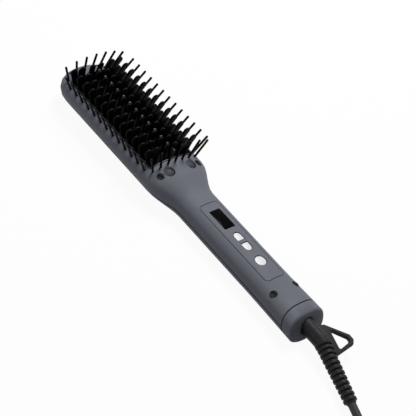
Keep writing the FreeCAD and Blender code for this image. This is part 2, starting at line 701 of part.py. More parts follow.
# ---------------------------------------------------------------- heater
HEATER_HALF, HEATER_REACH = 8.0, 40.0
INSULATOR = 0.4
heater_element = box("heater_element",
                     (f"-{HEATER_HALF}", f"head_mid - {HEATER_REACH}", f"{clamp_top} + {INSULATOR}"),
                     (f"{HEATER_HALF}", f"head_mid + {HEATER_REACH}", strip_low))
heater_insulator = box("heater_insulator", (f"-{HEATER_HALF}", f"head_mid - {HEATER_REACH}", clamp_top),
                       (f"{HEATER_HALF}", f"head_mid + {HEATER_REACH}", f"{clamp_top} + {INSULATOR}"))
CLAMP_HALF, CLAMP_ARM, CLAMP_ARM_HALF = 5.0, 13.4, 3.5
clamp_low = f"{clamp_top} - {CLAMP_THICKNESS}"
clamp_spine = box("clamp_spine", (f"-{CLAMP_HALF}", f"head_mid - {HEATER_REACH}", clamp_low),
                  (f"{CLAMP_HALF}", f"head_mid + {HEATER_REACH}", clamp_top))
clamp_arms = [box(f"clamp_arm_{index}",
                  (f"-{CLAMP_ARM}", f"head_mid {way} {BOSS_REACH} - {CLAMP_ARM_HALF}", clamp_low),
                  (f"{CLAMP_ARM}", f"head_mid {way} {BOSS_REACH} + {CLAMP_ARM_HALF}", clamp_top))
              for index, way in enumerate("-+")]
clamp_holes = [upright(f"clamp_hole_{index}", f"{CLAMP_SCREW + CLAMP_SCREW_GAP}", x, y, f"{clamp_low} - 1",
                       f"{clamp_top} + 1")
               for index, (_, x, y) in enumerate(BOSSES)]
heater_clamp = cut("heater_clamp", fuse("clamp_plate", clamp_spine, *clamp_arms), *clamp_holes)
SMALL_HEAD, SMALL_HEAD_HEIGHT = 1.8, 1.4


def small_screw(label, x, y, head_low, head_high, point_low, point_high):
    """A small screw: a head and a shank that lie on the same axis."""
    head = upright(f"{label}_head", f"{SMALL_HEAD}", x, y, head_low, head_high)
    shank = upright(f"{label}_shank", f"{CLAMP_SCREW}", x, y, point_low, point_high)
    return fuse(label, head, shank)


clamp_screws = group("clamp_screws", *[
    small_screw(f"clamp_screw_{index}", x, y, f"{clamp_low} - {SMALL_HEAD_HEIGHT}", clamp_low, clamp_low,
                strip_low)
    for index, (_, x, y) in enumerate(BOSSES)])
SENSOR_X, SENSOR_RADIUS, SENSOR_HALF = 12.0, 1.2, 4.0
FUSE_RADIUS, FUSE_HALF = 1.75, 5.5
thermistor = along_y("thermistor", f"{SENSOR_RADIUS}", f"-{SENSOR_X}", f"{strip_low} - {SENSOR_RADIUS}",
                     f"head_mid - {SENSOR_HALF}", f"head_mid + {SENSOR_HALF}")
thermal_fuse = along_y("thermal_fuse", f"{FUSE_RADIUS}", f"{SENSOR_X}", f"{strip_low} - {FUSE_RADIUS}",
                       f"head_mid - {FUSE_HALF}", f"head_mid + {FUSE_HALF}")

# ---------------------------------------------------------------- ion module under the shallow recesses
ION_HALF, ION_NEAR, ION_FAR, ION_LOW, ION_TOP = 9.0, 3.0, 19.0, 8.0, 17.0
ion_module = box("ion_module", (f"-{ION_HALF}", f"{ION_NEAR}", f"{ION_LOW}"),
                 (f"{ION_HALF}", f"{ION_FAR}", f"{ION_TOP}"))

# ---------------------------------------------------------------- control panel, display and keys
WINDOW_LEDGE = 0.8
panel_block = rounded_block("panel_block", "panel_half_width", "panel_near", "panel_far", "panel_corner",
                            "panel_floor", str(HIGH_UP))
window_pocket = rounded_block("window_pocket", "window_half_width + fit_gap / 2",
                              "window_near - fit_gap / 2", "window_far + fit_gap / 2", "1.0",
                              "window_floor", str(HIGH_UP + 1))
window_hole = rounded_block("window_hole", f"window_half_width - {WINDOW_LEDGE}",
                            f"window_near + {WINDOW_LEDGE}", f"window_far - {WINDOW_LEDGE}", "0.6",
                            "panel_floor - 1", "window_floor + 1")
window_block = rounded_block("window_block", "window_half_width", "window_near", "window_far", "0.95",
                             "window_floor", str(HIGH_UP))
lcd_window = common("lcd_window", window_block, skin)


def draw_arched(sketch, way, centre, grow):
    """A key's outline: square at one end and round at the other, which points along way."""
    half, length, middle = size("key_half_width"), size("key_length") / 2, size(centre)
    square, arc_y = middle - way * length, middle + way * (length - half)
    start = 0 if way > 0 else math.pi
    circle = Part.Circle(Vector(0, arc_y, 0), Vector(0, 0, 1), half)
    arch = sketch.addGeometry(Part.ArcOfCircle(circle, start, start + math.pi))
    first = sketch.addGeometry(Part.LineSegment(Vector(-way * half, arc_y, 0),
                                                Vector(-way * half, square, 0)))
    base = sketch.addGeometry(Part.LineSegment(Vector(-way * half, square, 0),
                                               Vector(way * half, square, 0)))
    second = sketch.addGeometry(Part.LineSegment(Vector(way * half, square, 0),
                                                 Vector(way * half, arc_y, 0)))
    sketch.addConstraint(Sketcher.Constraint("Tangent", arch, 2, first, 1))
    sketch.addConstraint(Sketcher.Constraint("Coincident", first, 2, base, 1))
    sketch.addConstraint(Sketcher.Constraint("Coincident", base, 2, second, 1))
    sketch.addConstraint(Sketcher.Constraint("Tangent", second, 2, arch, 1))
    sketch.addConstraint(Sketcher.Constraint("Horizontal", base))
    sketch.addConstraint(Sketcher.Constraint("PointOnObject", arch, 3, -2))
    sign = "-" if way > 0 else "+"
    other = "+" if way > 0 else "-"
    constrain(sketch, "square_end", f"{centre} {sign} (key_length / 2 + ({grow}))", "DistanceY", base, 1,
              square)
    constrain(sketch, "arch_middle", f"{centre} {other} (key_length / 2 - key_half_width)", "DistanceY",
              arch, 3, arc_y)
    constrain(sketch, "half_width", f"key_half_width + ({grow})", "Radius", arch, half)


def draw_circle(sketch, centre, radius):
    middle = size(centre)
    circle = sketch.addGeometry(Part.Circle(Vector(0, middle, 0), Vector(0, 0, 1), 1.0))
    sketch.addConstraint(Sketcher.Constraint("PointOnObject", circle, 3, -2))
    constrain(sketch, "middle", centre, "DistanceY", circle, 3, middle)
    constrain(sketch, "radius", radius, "Radius", circle, 1.0)


def key_outline(sketch, way, centre, grow):
    """The outline of a temperature key, or of the round power key when way is 0."""
    if way:
        draw_arched(sketch, way, centre, grow)
    else:
        draw_circle(sketch, centre, f"power_key_radius + ({grow})")


def key_pad(body, label, way, centre, grow, low, high):
    sketch = new_sketch(body, "XY_Plane", low)
    key_outline(sketch, way, centre, grow)
    pad = body.newObject("PartDesign::Pad", f"{body.Name}_{label}")
    pad.Profile = sketch
    bind(pad, Length=f"({high}) - ({low})")
    return pad


KEY_TOP = "handle_height + key_proud"
FLANGE_LOW, FLANGE_TOP = "panel_floor - 1.0", "panel_floor - 0.05"
SWITCH_TOP = "board_top + 2.0"
SWITCH_HALF = 3.0
PLUNGER_RADIUS, PLUNGER_GAP = 1.5, 0.1
PLUNGER_LOW = "board_top + 1.0"
KEY_EDGE = 0.35
KEYS = [("key_up", 1, "up_key_y"), ("key_down", -1, "down_key_y"), ("key_power", 0, "power_key_y")]


def key_body(name, way, centre):
    """A key with its flange under the panel and the plunger that presses its switch."""
    body = doc.addObject("PartDesign::Body", name)
    key_pad(body, "flange", way, centre, "key_flange", FLANGE_LOW, FLANGE_TOP)
    key_pad(body, "cap", way, centre, "0", FLANGE_LOW, KEY_TOP)
    sketch = new_sketch(body, "XY_Plane", PLUNGER_LOW)
    draw_circle(sketch, centre, str(PLUNGER_RADIUS))
    plunger = body.newObject("PartDesign::Pad", f"{name}_plunger")
    plunger.Profile = sketch
    bind(plunger, Length=f"({FLANGE_LOW}) - ({PLUNGER_LOW})")
    body.Tip = plunger
    doc.recompute()
    top = size("handle_height") + size("key_proud")
    rim = [f"Edge{number}" for number, edge in enumerate(plunger.Shape.Edges, start=1)
           if all(abs(vertex.Z - top) < 1e-6 for vertex in edge.Vertexes)]
    bevel = body.newObject("PartDesign::Chamfer", f"{name}_bevel")
    bevel.Base = (plunger, rim)
    bevel.Size = KEY_EDGE
    body.Tip = bevel
    return body


def key_hole(name, way, centre):
    body = doc.addObject("PartDesign::Body", f"{name}_hole")
    body.Tip = key_pad(body, "clear", way, centre, "key_gap", "panel_floor - 1", str(HIGH_UP))
    return body


keys = [key_body(*key) for key in KEYS]
key_holes = [key_hole(*key) for key in KEYS]
control_panel = cut("control_panel", common("panel_skin", panel_block, skin), window_pocket, window_hole,
                    *key_holes)


def switch(name, centre):
    """A square tactile switch with a bore for the key's plunger."""
    case = box(f"{name}_case", (f"{-SWITCH_HALF}", f"{centre} - {SWITCH_HALF}", "board_top"),
               (f"{SWITCH_HALF}", f"{centre} + {SWITCH_HALF}", SWITCH_TOP))
    bore = upright(f"{name}_bore", f"{PLUNGER_RADIUS + PLUNGER_GAP}", "0", centre,
                   f"{PLUNGER_LOW} - key_travel - {PLUNGER_GAP}", f"{SWITCH_TOP} + 1")
    return cut(name, case, bore)


tact_switches = group("tact_switches", *[switch(f"switch_{name}", centre) for name, _, centre in KEYS])
LCD_HALF, LCD_OVER = 7.0, 2.0
lcd_module = box("lcd_module", (f"-{LCD_HALF}", f"window_near - {LCD_OVER}", "board_top"),
                 (f"{LCD_HALF}", f"window_far + {LCD_OVER}", "panel_floor"))

# ---------------------------------------------------------------- boards
def board_bores(prefix, posts, low, high):
    """A bore for a small screw at each post."""
    return [upright(f"{prefix}_{index}", f"{CLAMP_SCREW + CLAMP_SCREW_GAP}", x, y, low, high)
            for index, (x, y) in enumerate(posts)]


BOARD_POST_X, BOARD_POST_IN, BOARD_POST_RADIUS = 11.6, 3.5, 2.2
BOARD_POSTS = [(f"{x}{BOARD_POST_X}", y) for x in "-+"
               for y in (f"board_far - {BOARD_POST_IN}", f"board_near + {BOARD_POST_IN}")]
board_low = "board_top - board_thickness"
board_block = box("board_block", ("-board_half_width", "board_near", board_low),
                  ("board_half_width", "board_far", "board_top"))
control_board = cut("control_board", board_block,
                    *board_bores("board_hole", BOARD_POSTS, f"{board_low} - 1", "board_top + 3"))
board_screws = group("board_screws", *[
    small_screw(f"board_screw_{index}", x, y, f"{board_low} - {SMALL_HEAD_HEIGHT}", board_low, board_low,
                "board_top + 2.5")
    for index, (x, y) in enumerate(BOARD_POSTS)])
POWER_POST_X, POWER_POST_IN = 9.5, 5.0
POWER_POSTS = [(f"{x}{POWER_POST_X}", y) for x in "-+"
               for y in (f"power_board_far - {POWER_POST_IN}", f"power_board_near + {POWER_POST_IN}")]
power_low = "power_board_top - board_thickness"
power_block = box("power_block", ("-power_board_half_width", "power_board_near", power_low),
                  ("power_board_half_width", "power_board_far", "power_board_top"))
POWER_SCREW_POINT = 3.2
power_board = cut("power_board", power_block,
                  *board_bores("power_hole", POWER_POSTS, f"{POWER_SCREW_POINT - 0.2}",
                               "power_board_top + 1"))
power_screws = group("power_board_screws", *[
    small_screw(f"power_screw_{index}", x, y, "power_board_top", f"power_board_top + {SMALL_HEAD_HEIGHT}",
                f"{POWER_SCREW_POINT}", "power_board_top")
    for index, (x, y) in enumerate(POWER_POSTS)])
CAPACITOR_Y, CAPACITOR_HALF, CAPACITOR_RADIUS = -40.0, 6.0, 2.4
POWER_BLOCKS = [  # name, half width, near end, far end, height above the board
    ("heater_terminal", 5.5, -30.5, -25.0, 4.5),
    ("triac", 5.0, -56.0, -51.5, 4.6),
    ("relay", 7.5, -76.0, -64.0, 4.8),
    ("mains_terminal", 6.0, -91.0, -84.0, 4.5),
]
TERMINAL = {name: (near, far) for name, _, near, far, _ in POWER_BLOCKS}
capacitor = along_x("capacitor", f"{CAPACITOR_RADIUS}", f"{CAPACITOR_Y}",
                    f"power_board_top + {CAPACITOR_RADIUS}", f"{-CAPACITOR_HALF}", f"{CAPACITOR_HALF}")
power_parts = group("power_components", capacitor, *[
    box(name, (f"{-half}", f"{near}", "power_board_top"),
        (f"{half}", f"{far}", f"power_board_top + {height}"))
    for name, half, near, far, height in POWER_BLOCKS])


# ---------------------------------------------------------------- wires and leads
WIRE_RADIUS = 0.8


def wire_pair(name, route):
    """Two mirrored wires, given the right-hand one's points."""
    routes = [[Vector(side * x, y, z) for x, y, z in route] for side in (-1, 1)]
    return plain(name, Part.makeCompound([mitred_tube(points, WIRE_RADIUS) for points in routes]))


WIRE_HEIGHT = size("power_board_top") + 2.2
HEATER_WIRE_Z = size("plate_top") - size("plate_thickness") - 1.5
heater_near = size("head_mid") - HEATER_REACH
heater_leads = wire_pair("heater_leads", (
    (3.5, TERMINAL["heater_terminal"][1], WIRE_HEIGHT), (3.5, -20.0, WIRE_HEIGHT), (11.8, -8.0, 10.0),
    (11.8, 19.0, 12.0), (5.0, heater_near - 6.0, HEATER_WIRE_Z), (5.0, heater_near, HEATER_WIRE_Z)))
CONTACT_HALF, CONTACT_NEAR, CONTACT_FAR, CONTACT_FLOOR, CONTACT_TOP = 6.0, -118.8, -110.2, 3.2, 5.2
CONTACT_Z = (CONTACT_FLOOR + CONTACT_TOP) / 2
mains_leads = wire_pair("mains_leads", (
    (3.0, CONTACT_FAR, CONTACT_Z), (3.0, CONTACT_FAR + 4.0, CONTACT_Z),
    (3.0, TERMINAL["mains_terminal"][0] - 9.0, WIRE_HEIGHT),
    (3.0, TERMINAL["mains_terminal"][0], WIRE_HEIGHT)))

# ---------------------------------------------------------------- swivelling cord outlet
RIB_DEPTH = 1.5
RIB_SHARE = 0.62
LOOP_OUTLINE = ((1.0, -149.0), (12.6, -149.0), (25.4, -169.8), (25.2, -174.6), (21.6, -178.0),
                (-3.5, -180.4))
LOOP_OPENING = ((13.4, -159.5), (21.2, -171.3), (20.8, -173.6), (19.4, -175.0), (7.6, -176.8))
bush_far = "bush_near + bush_length"
END_PLAY = 0.06
RING_ROD, RING_RADIUS, RING_LENGTH = 3.0, 4.0, 2.0
RING_PLACES = ("-117.6", "-113.4")
ROD_FAR = "-109.4"
outlet_z = "outlet_height"
SLEEVE_WAY = Rotation(Vector(0, 0, 1), -size("sleeve_turn")).multVec(
    Vector(0, -math.cos(math.radians(size("sleeve_droop"))), -math.sin(math.radians(size("sleeve_droop")))))
KNEE = Vector(0, size("knee_y"), size("outlet_height"))
SLEEVE_COLLAR = 6.0
COLLAR_PLAIN = 4.5
ELBOW_START = size("bush_near") - 0.3
LOOP_GAP = 0.05
LOOP_CORNER = 1.2
LOOP_HIDDEN = 5.0


def sleeve_shape():
    """The ribbed sleeve, tapering from the knee to the cord, turned about its own axis."""
    length, ribs = size("sleeve_length"), int(size("sleeve_ribs"))
    pitch = (length - SLEEVE_COLLAR) / ribs
    start, finish = size("sleeve_start"), size("sleeve_finish")

    def rib_radius(along):
        return start + (finish - start) * along / length

    collar = size("neck_radius") - RIB_DEPTH
    outline = [Vector(0, 0, COLLAR_PLAIN), Vector(collar, 0, COLLAR_PLAIN)]
    for rib in range(ribs):
        near = SLEEVE_COLLAR + rib * pitch
        far = near + pitch * RIB_SHARE
        outline += [Vector(rib_radius(near) - RIB_DEPTH, 0, near), Vector(rib_radius(near), 0, near + 0.3)]
        outline += [Vector(rib_radius(far), 0, far - 0.3), Vector(rib_radius(far) - RIB_DEPTH, 0, far)]
    outline += [Vector(finish - RIB_DEPTH, 0, length), Vector(0, 0, length)]
    face = Part.Face(Part.makePolygon(outline + outline[:1]))
    sleeve = face.revolve(Vector(0, 0, 0), Vector(0, 0, 1), 360)
    sleeve.Placement = Placement(KNEE, Rotation(Vector(0, 0, 1), SLEEVE_WAY))
    return sleeve


elbow_route = [Vector(0, ELBOW_START, KNEE.z), KNEE, KNEE + SLEEVE_WAY * COLLAR_PLAIN]
strain_relief = fuse(
    "strain_relief",
    plain("elbow", bent_tube("elbow", elbow_route, size("neck_radius"))),
    along_y("spindle", "spindle_radius", "0", outlet_z, "bush_near - 1", f"{bush_far} + 1"),
    along_y("retaining_flange", "flange_radius", "0", outlet_z, f"{bush_far} + {END_PLAY}",
            f"{bush_far} + {END_PLAY} + flange_thickness"),
    along_y("contact_rod", f"{RING_ROD}", "0", outlet_z, f"{bush_far} + 1", ROD_FAR),
    plain("sleeve", sleeve_shape()),
)


def flat_plate(outline, low, high):
    corners = [Vector(x, y, low) for x, y in outline]
    return Part.Face(Part.makePolygon(corners + corners[:1])).extrude(Vector(0, 0, high - low))


def loop_shape():
    """The hanging loop: a flat triangle with an opening, rounded along its rims, shaped to the neck."""
    middle, rod = size("outlet_height"), size("loop_rod")
    plate = flat_plate(LOOP_OUTLINE, middle - rod, middle + rod)
    plate = plate.cut(flat_plate(LOOP_OPENING, middle - rod - 1, middle + rod + 1))
    corners = [edge for edge in plate.Edges if is_upright(edge) and edge.Vertexes[0].X > LOOP_HIDDEN]
    plate = plate.makeFillet(LOOP_CORNER, corners)
    rims = [edge for edge in plate.Edges if is_level(edge) and edge.BoundBox.XMax > LOOP_HIDDEN + 3]
    plate = plate.makeChamfer(rod * 0.5, rims)
    near_knee = size("neck_radius") + LOOP_GAP
    neck = Part.makeCylinder(near_knee, 40, KNEE - Vector(0, 1, 0), Vector(0, 1, 0))
    collar = Part.makeCylinder(near_knee + LOOP_GAP, SLEEVE_COLLAR, KNEE - SLEEVE_WAY, SLEEVE_WAY)
    start, finish = size("sleeve_start") + 3 * LOOP_GAP, size("sleeve_finish") + LOOP_GAP
    envelope = Part.makeCone(start, finish, size("sleeve_length"), KNEE, SLEEVE_WAY)
    return plate.cut([neck, collar, envelope]).Solids[0]


hanging_loop = plain("hanging_loop", loop_shape())


def contact_ring(index, near):
    """A ring that turns with the outlet's rod."""
    ring = along_y(f"ring_{index}", f"{RING_RADIUS}", "0", outlet_z, near, f"{near} + {RING_LENGTH}")
    rod = along_y(f"ring_bore_{index}", f"{RING_ROD}", "0", outlet_z, f"{near} - 1",
                  f"{near} + {RING_LENGTH} + 1")
    return cut(f"contact_ring_{index}", ring, rod)


contact_rings = group("contact_rings",
                      *[contact_ring(index, near) for index, near in enumerate(RING_PLACES)])
CONTACT_GAP = 0.1
SPRING_THICKNESS, SPRING_FOOT, SPRING_RISER, SPRING_LEAF = 0.4, -4.0, -1.4, 3.5
spring_top = f"outlet_height - {RING_RADIUS} - {CONTACT_GAP}"
contact_block = box("contact_block", (f"{-CONTACT_HALF}", f"{CONTACT_NEAR}", f"{CONTACT_FLOOR}"),
                    (f"{CONTACT_HALF}", f"{CONTACT_FAR}", f"{CONTACT_TOP}"))


def contact_spring(index, near):
    """A bent strip: its foot on the block, its leaf just under a ring."""
    far, inner = f"{near} + {RING_LENGTH}", f"{SPRING_RISER + SPRING_THICKNESS}"
    foot = box(f"spring_foot_{index}", (f"{SPRING_FOOT}", near, f"{CONTACT_TOP}"),
               (inner, far, f"{CONTACT_TOP + SPRING_THICKNESS}"))
    riser = box(f"spring_riser_{index}", (f"{SPRING_RISER}", near, f"{CONTACT_TOP}"),
                (inner, far, spring_top))
    leaf = box(f"spring_leaf_{index}", (f"{SPRING_RISER}", near, f"{spring_top} - {SPRING_THICKNESS}"),
               (f"{SPRING_LEAF}", far, spring_top))
    return fuse(f"contact_spring_{index}", foot, riser, leaf)


contact_springs = group("contact_springs",
                        *[contact_spring(index, near) for index, near in enumerate(RING_PLACES)])
swivel_bush = cut("swivel_bush",
                  along_y("bush_outer", "bush_radius", "0", outlet_z, "bush_near", bush_far),
                  along_y("bush_bore", "spindle_radius + swivel_gap", "0", outlet_z, "bush_near - 1",
                          f"{bush_far} + 1"))

# ---------------------------------------------------------------- casings
# Each casing is half of the shell with posts, ribs and seats grown into the middle of its wall.
BUSH_SEAT = 0.02
WIDE = 60.0
FRAME_RIM, FRAME_END, FRAME_FLOOR = 2.2, 2.4, 1.4
RIB_PLACES = (("a", "bush_near + 0.2", "bush_near + 2.0"), ("b", f"{bush_far} - 2.0", f"{bush_far} - 0.2"))
FRAME_HALF = f"panel_half_width + {FRAME_RIM}"
ION_RIBS = (("a", "5.0", "6.4"), ("b", "15.6", "17.0"))
CONTACT_RIM = 0.4
mid_wall = plain("mid_wall", inner_form(WALL / 2, CASING_END))


def bush_ribs(prefix, low, high):
    return [box(f"{prefix}_rib_{label}", (f"{-WIDE}", near, low), (f"{WIDE}", far, high))
            for label, near, far in RIB_PLACES]


front_features = fuse(
    "front_features", *screw_posts("parting", str(HIGH_UP), "front"),
    *bush_ribs("front", "parting", str(HIGH_UP)),
    box("panel_frame", (f"-({FRAME_HALF})", f"panel_near - {FRAME_END}", f"panel_floor - {FRAME_FLOOR}"),
        (FRAME_HALF, f"panel_far + {FRAME_END}", str(HIGH_UP))),
    *[upright(f"board_post_{index}", f"{BOARD_POST_RADIUS}", x, y, "board_top", str(HIGH_UP))
      for index, (x, y) in enumerate(BOARD_POSTS)])
back_features = fuse(
    "back_features", *screw_posts("-1.0", "parting", "back"), *bush_ribs("back", "-1.0", "parting"),
    *[upright(f"power_post_{index}", f"{BOARD_POST_RADIUS}", x, y, "-1.0", power_low)
      for index, (x, y) in enumerate(POWER_POSTS)],
    *[box(f"ion_rib_{label}", (f"-{ION_HALF}", near, "-1.0"), (f"{ION_HALF}", far, f"{ION_LOW}"))
      for label, near, far in ION_RIBS],
    box("contact_seat", (f"{-CONTACT_HALF - CONTACT_RIM}", f"{CONTACT_NEAR - CONTACT_RIM}", "-1.0"),
        (f"{CONTACT_HALF + CONTACT_RIM}", f"{CONTACT_FAR + CONTACT_RIM}", f"{CONTACT_FLOOR}")))
upper_half = box("upper_half", (f"{-WIDE}", "casing_end", "parting"),
                 (f"{WIDE}", f"{FAR_OUT}", f"{HIGH_UP}"))
lower_half = box("lower_half", (f"{-WIDE}", "casing_end", "0.0"), (f"{WIDE}", f"{FAR_OUT}", "parting"))
front_shell = fuse("front_shell", cut("front_wall", common("front_skin", skin, upper_half), hollow),
                   common("front_inside", front_features, mid_wall))
back_shell = fuse("back_shell", cut("back_wall", common("back_skin", skin, lower_half), hollow),
                  common("back_inside", back_features, mid_wall))
bush_seat = along_y("bush_seat", f"bush_radius + {BUSH_SEAT}", "0", outlet_z, "bush_near - 1",
                    f"{bush_far} + 1")
bed_opening = bed_block("bed_opening", "0", "plate_top - plate_thickness - 4", str(HIGH_UP))
panel_pocket = rounded_block("panel_pocket", "panel_half_width + panel_gap", "panel_near - panel_gap",
                             "panel_far + panel_gap", "panel_corner + panel_gap", "panel_floor",
                             str(HIGH_UP))
panel_through = rounded_block("panel_through", "panel_half_width - panel_ledge", "panel_near + panel_ledge",
                              "panel_far - panel_ledge", "1.2", "parting + 1", "panel_floor + 1")
DIMPLE_HALF_X, DIMPLE_HALF_Y, DIMPLE_SINK = 5.3, 3.8, 1.2
dimples = []
for label, sign in (("left", "-"), ("right", "")):
    dimple = doc.addObject("Part::Ellipsoid", f"dimple_{label}")
    bind(dimple, Radius1=f"{DIMPLE_SINK}", Radius2=f"{DIMPLE_HALF_X}", Radius3=f"{DIMPLE_HALF_Y}",
         at=(f"{sign}dimple_x", "dimple_y", f"head_crown - {DIMPLE_SINK}"))
    dimples.append(dimple)
front_casing = cut(
    "front_casing", front_shell, bed_opening, pin_holes, panel_pocket, panel_through,
    bush_seat, *dimples, *screw_holes("front"),
    *board_bores("front_board_hole", BOARD_POSTS, "board_top - 1", "board_top + 2.7"))
back_casing = cut(
    "back_casing", back_shell, bush_seat, *screw_holes("back"),
    *board_bores("back_board_hole", POWER_POSTS, f"{POWER_SCREW_POINT - 0.2}", f"{power_low} + 1"))

# ---------------------------------------------------------------- end cap
CAP_END_WALL = 2.5
SPIGOT_WALL = 1.6
SPIGOT_LENGTH = 5.0


def end_cap_shape():
    """A short cup that closes the handle: rounded at its end face, with a spigot inside the casings."""
    end_face, spigot_end = size("handle_end"), CASING_END + SPIGOT_LENGTH
    lap = WALL + size("fit_gap")
    wires = [arc_outline(end_face + back, shave) for back, shave in END_ROUND]
    cap = Part.makeLoft(wires + [arc_outline(CASING_END, 0.0)], True, True)
    spigot = loft(panel_outline, (CASING_END - 1.0, spigot_end), lap)
    cavity = loft(panel_outline, (end_face + CAP_END_WALL, spigot_end + 1.0), lap + SPIGOT_WALL)
    hole = Part.makeCylinder(size("neck_radius") + size("neck_gap"), CAP_END_WALL * 3,
                             Vector(0, end_face - CAP_END_WALL, size("outlet_height")), Vector(0, 1, 0))
    below = Part.makeBox(80, 30, 5, Vector(-40, end_face - 5, -5))
    return cap.fuse(spigot).cut([cavity, hole, below])


end_cap = plain("end_cap", end_cap_shape())

# ---------------------------------------------------------------- mains cord, hank, tie and plug
CORD_FLOOR = size("cord_radius") + 0.05
SLEEVE_END = KNEE + SLEEVE_WAY * size("sleeve_length")
LEAD_STRAIGHT = 13.0
HANK_NEAR, HANK_LENGTH, HANK_HALF, HANK_TOP, HANK_LOW = -270.0, 146.0, 30.3, 20.6, 0.8
HANK_FAR = HANK_NEAR - HANK_LENGTH
HANK_SIDE_X, HANK_CORNER = -27.0, 26.0
PLUG_X, PLUG_NEAR, PLUG_HEIGHT = -25.4, HANK_FAR - 26.0, 18.0
LEAD_ROUTE = [
    SLEEVE_END, SLEEVE_END + SLEEVE_WAY * LEAD_STRAIGHT, Vector(-24.3, -241.6, 3.9),
    Vector(HANK_SIDE_X, -256.2, CORD_FLOOR), Vector(HANK_SIDE_X, HANK_NEAR, CORD_FLOOR),
]
TAIL_ROUTE = [
    Vector(HANK_SIDE_X, HANK_FAR, 9.9), Vector(HANK_SIDE_X, HANK_FAR - 8.5, 9.9),
    Vector(PLUG_X, PLUG_NEAR + 8.5, PLUG_HEIGHT / 2), Vector(PLUG_X, PLUG_NEAR, PLUG_HEIGHT / 2),
]
power_cord = plain("power_cord", bent_tube("power_cord", LEAD_ROUTE, size("cord_radius")))
cord_tail = plain("cord_tail", bent_tube("cord_tail", TAIL_ROUTE, size("cord_radius")))


def hank_shape():
    """The folded lead's outer shape: straight where the lead runs in and out, round at the folds."""
    block = Part.makeBox(2 * HANK_HALF, HANK_LENGTH, HANK_TOP - HANK_LOW,
                         Vector(-HANK_HALF, HANK_FAR, HANK_LOW))
    folds = [edge for edge in block.Edges if is_upright(edge) and edge.Vertexes[0].X > 0]
    return block.makeFillet(HANK_CORNER, folds)


cord_hank = plain("cord_hank", hank_shape())
TIE_THICKNESS, TIE_WIDTH = 0.8, 8.0
tie_near = (HANK_NEAR + HANK_FAR - TIE_WIDTH) / 2
tie_half = HANK_HALF + TIE_THICKNESS
tie_outer = box("tie_outer", (f"{-tie_half}", f"{tie_near}", f"{HANK_LOW - TIE_THICKNESS}"),
                (f"{tie_half}", f"{tie_near + TIE_WIDTH}", f"{HANK_TOP + TIE_THICKNESS}"))
tie_inner = box("tie_inner", (f"{-HANK_HALF}", f"{tie_near - 1}", f"{HANK_LOW}"),
                (f"{HANK_HALF}", f"{tie_near + TIE_WIDTH + 1}", f"{HANK_TOP}"))
hank_tie = cut("hank_tie", tie_outer, tie_inner)
PLUG_LENGTH, PLUG_HALF, PLUG_NOSE_HALF, PLUG_STRAIGHT, PLUG_EDGE = 34.0, 11.0, 5.0, 20.0, 3.0
BLADE_X, BLADE_HALF, BLADE_WIDTH, BLADE_LENGTH = 6.35, 0.75, 6.3, 16.0


def plug_body_shape():
    """A moulded plug: a block that narrows to the cord, its long edges rounded."""
    front, back = PLUG_NEAR - PLUG_LENGTH, PLUG_NEAR
    shoulder = front + PLUG_STRAIGHT
    profile = [Vector(PLUG_X + across, along, 0) for across, along in (
        (-PLUG_HALF, front), (PLUG_HALF, front), (PLUG_HALF, shoulder),
        (PLUG_NOSE_HALF, back), (-PLUG_NOSE_HALF, back), (-PLUG_HALF, shoulder))]
    block = Part.Face(Part.makePolygon(profile + profile[:1])).extrude(Vector(0, 0, PLUG_HEIGHT))
    rims = [edge for edge in block.Edges if is_level(edge) and edge.BoundBox.YLength > 1.0]
    return block.makeFillet(PLUG_EDGE, rims)


plug_body = plain("plug_body", plug_body_shape())


def blade(side, middle):
    """One flat blade that stands out of the plug's face."""
    face, height = PLUG_NEAR - PLUG_LENGTH, PLUG_HEIGHT / 2
    return box(f"blade_{side}", (f"{middle - BLADE_HALF}", f"{face - BLADE_LENGTH}",
                                 f"{height - BLADE_WIDTH / 2}"),
               (f"{middle + BLADE_HALF}", f"{face}", f"{height + BLADE_WIDTH / 2}"))


plug_blades = group("plug_blades", blade("left", PLUG_X - BLADE_X), blade("right", PLUG_X + BLADE_X))

# ---------------------------------------------------------------- check and write
NODES = [
    front_casing, back_casing, end_cap, casing_screws,
    pin_frame, side_pins, end_pins, bed_bezel, comb_plate, comb_fins, centre_pins,
    heater_element, heater_insulator, heater_clamp, clamp_screws, thermistor, thermal_fuse, ion_module,
    control_panel, lcd_window, lcd_module, *keys, tact_switches, control_board, board_screws,
    power_board, power_screws, power_parts, heater_leads, mains_leads,
    swivel_bush, contact_block, contact_springs, contact_rings, strain_relief, hanging_loop,
    power_cord, cord_hank, cord_tail, hank_tie, plug_body, plug_blades,
]
doc.recompute()
for item in doc.Objects:
    if {"Invalid", "Error"} & set(item.State):
        raise RuntimeError(f"{item.Name} failed: {item.State}")
os.makedirs("parts", exist_ok=True)
for node in NODES:
    node.Label = node.Name
    shape = node.Shape
    if shape.isNull() or not shape.isValid():
        raise RuntimeError(f"{node.Name} has no valid shape")
    shape.exportStep(f"parts/{node.Label}.step")
    print(f"{node.Label}: {len(shape.Solids)} solid(s), {shape.Volume:.0f} mm3")
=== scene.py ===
import functools
import json
import math

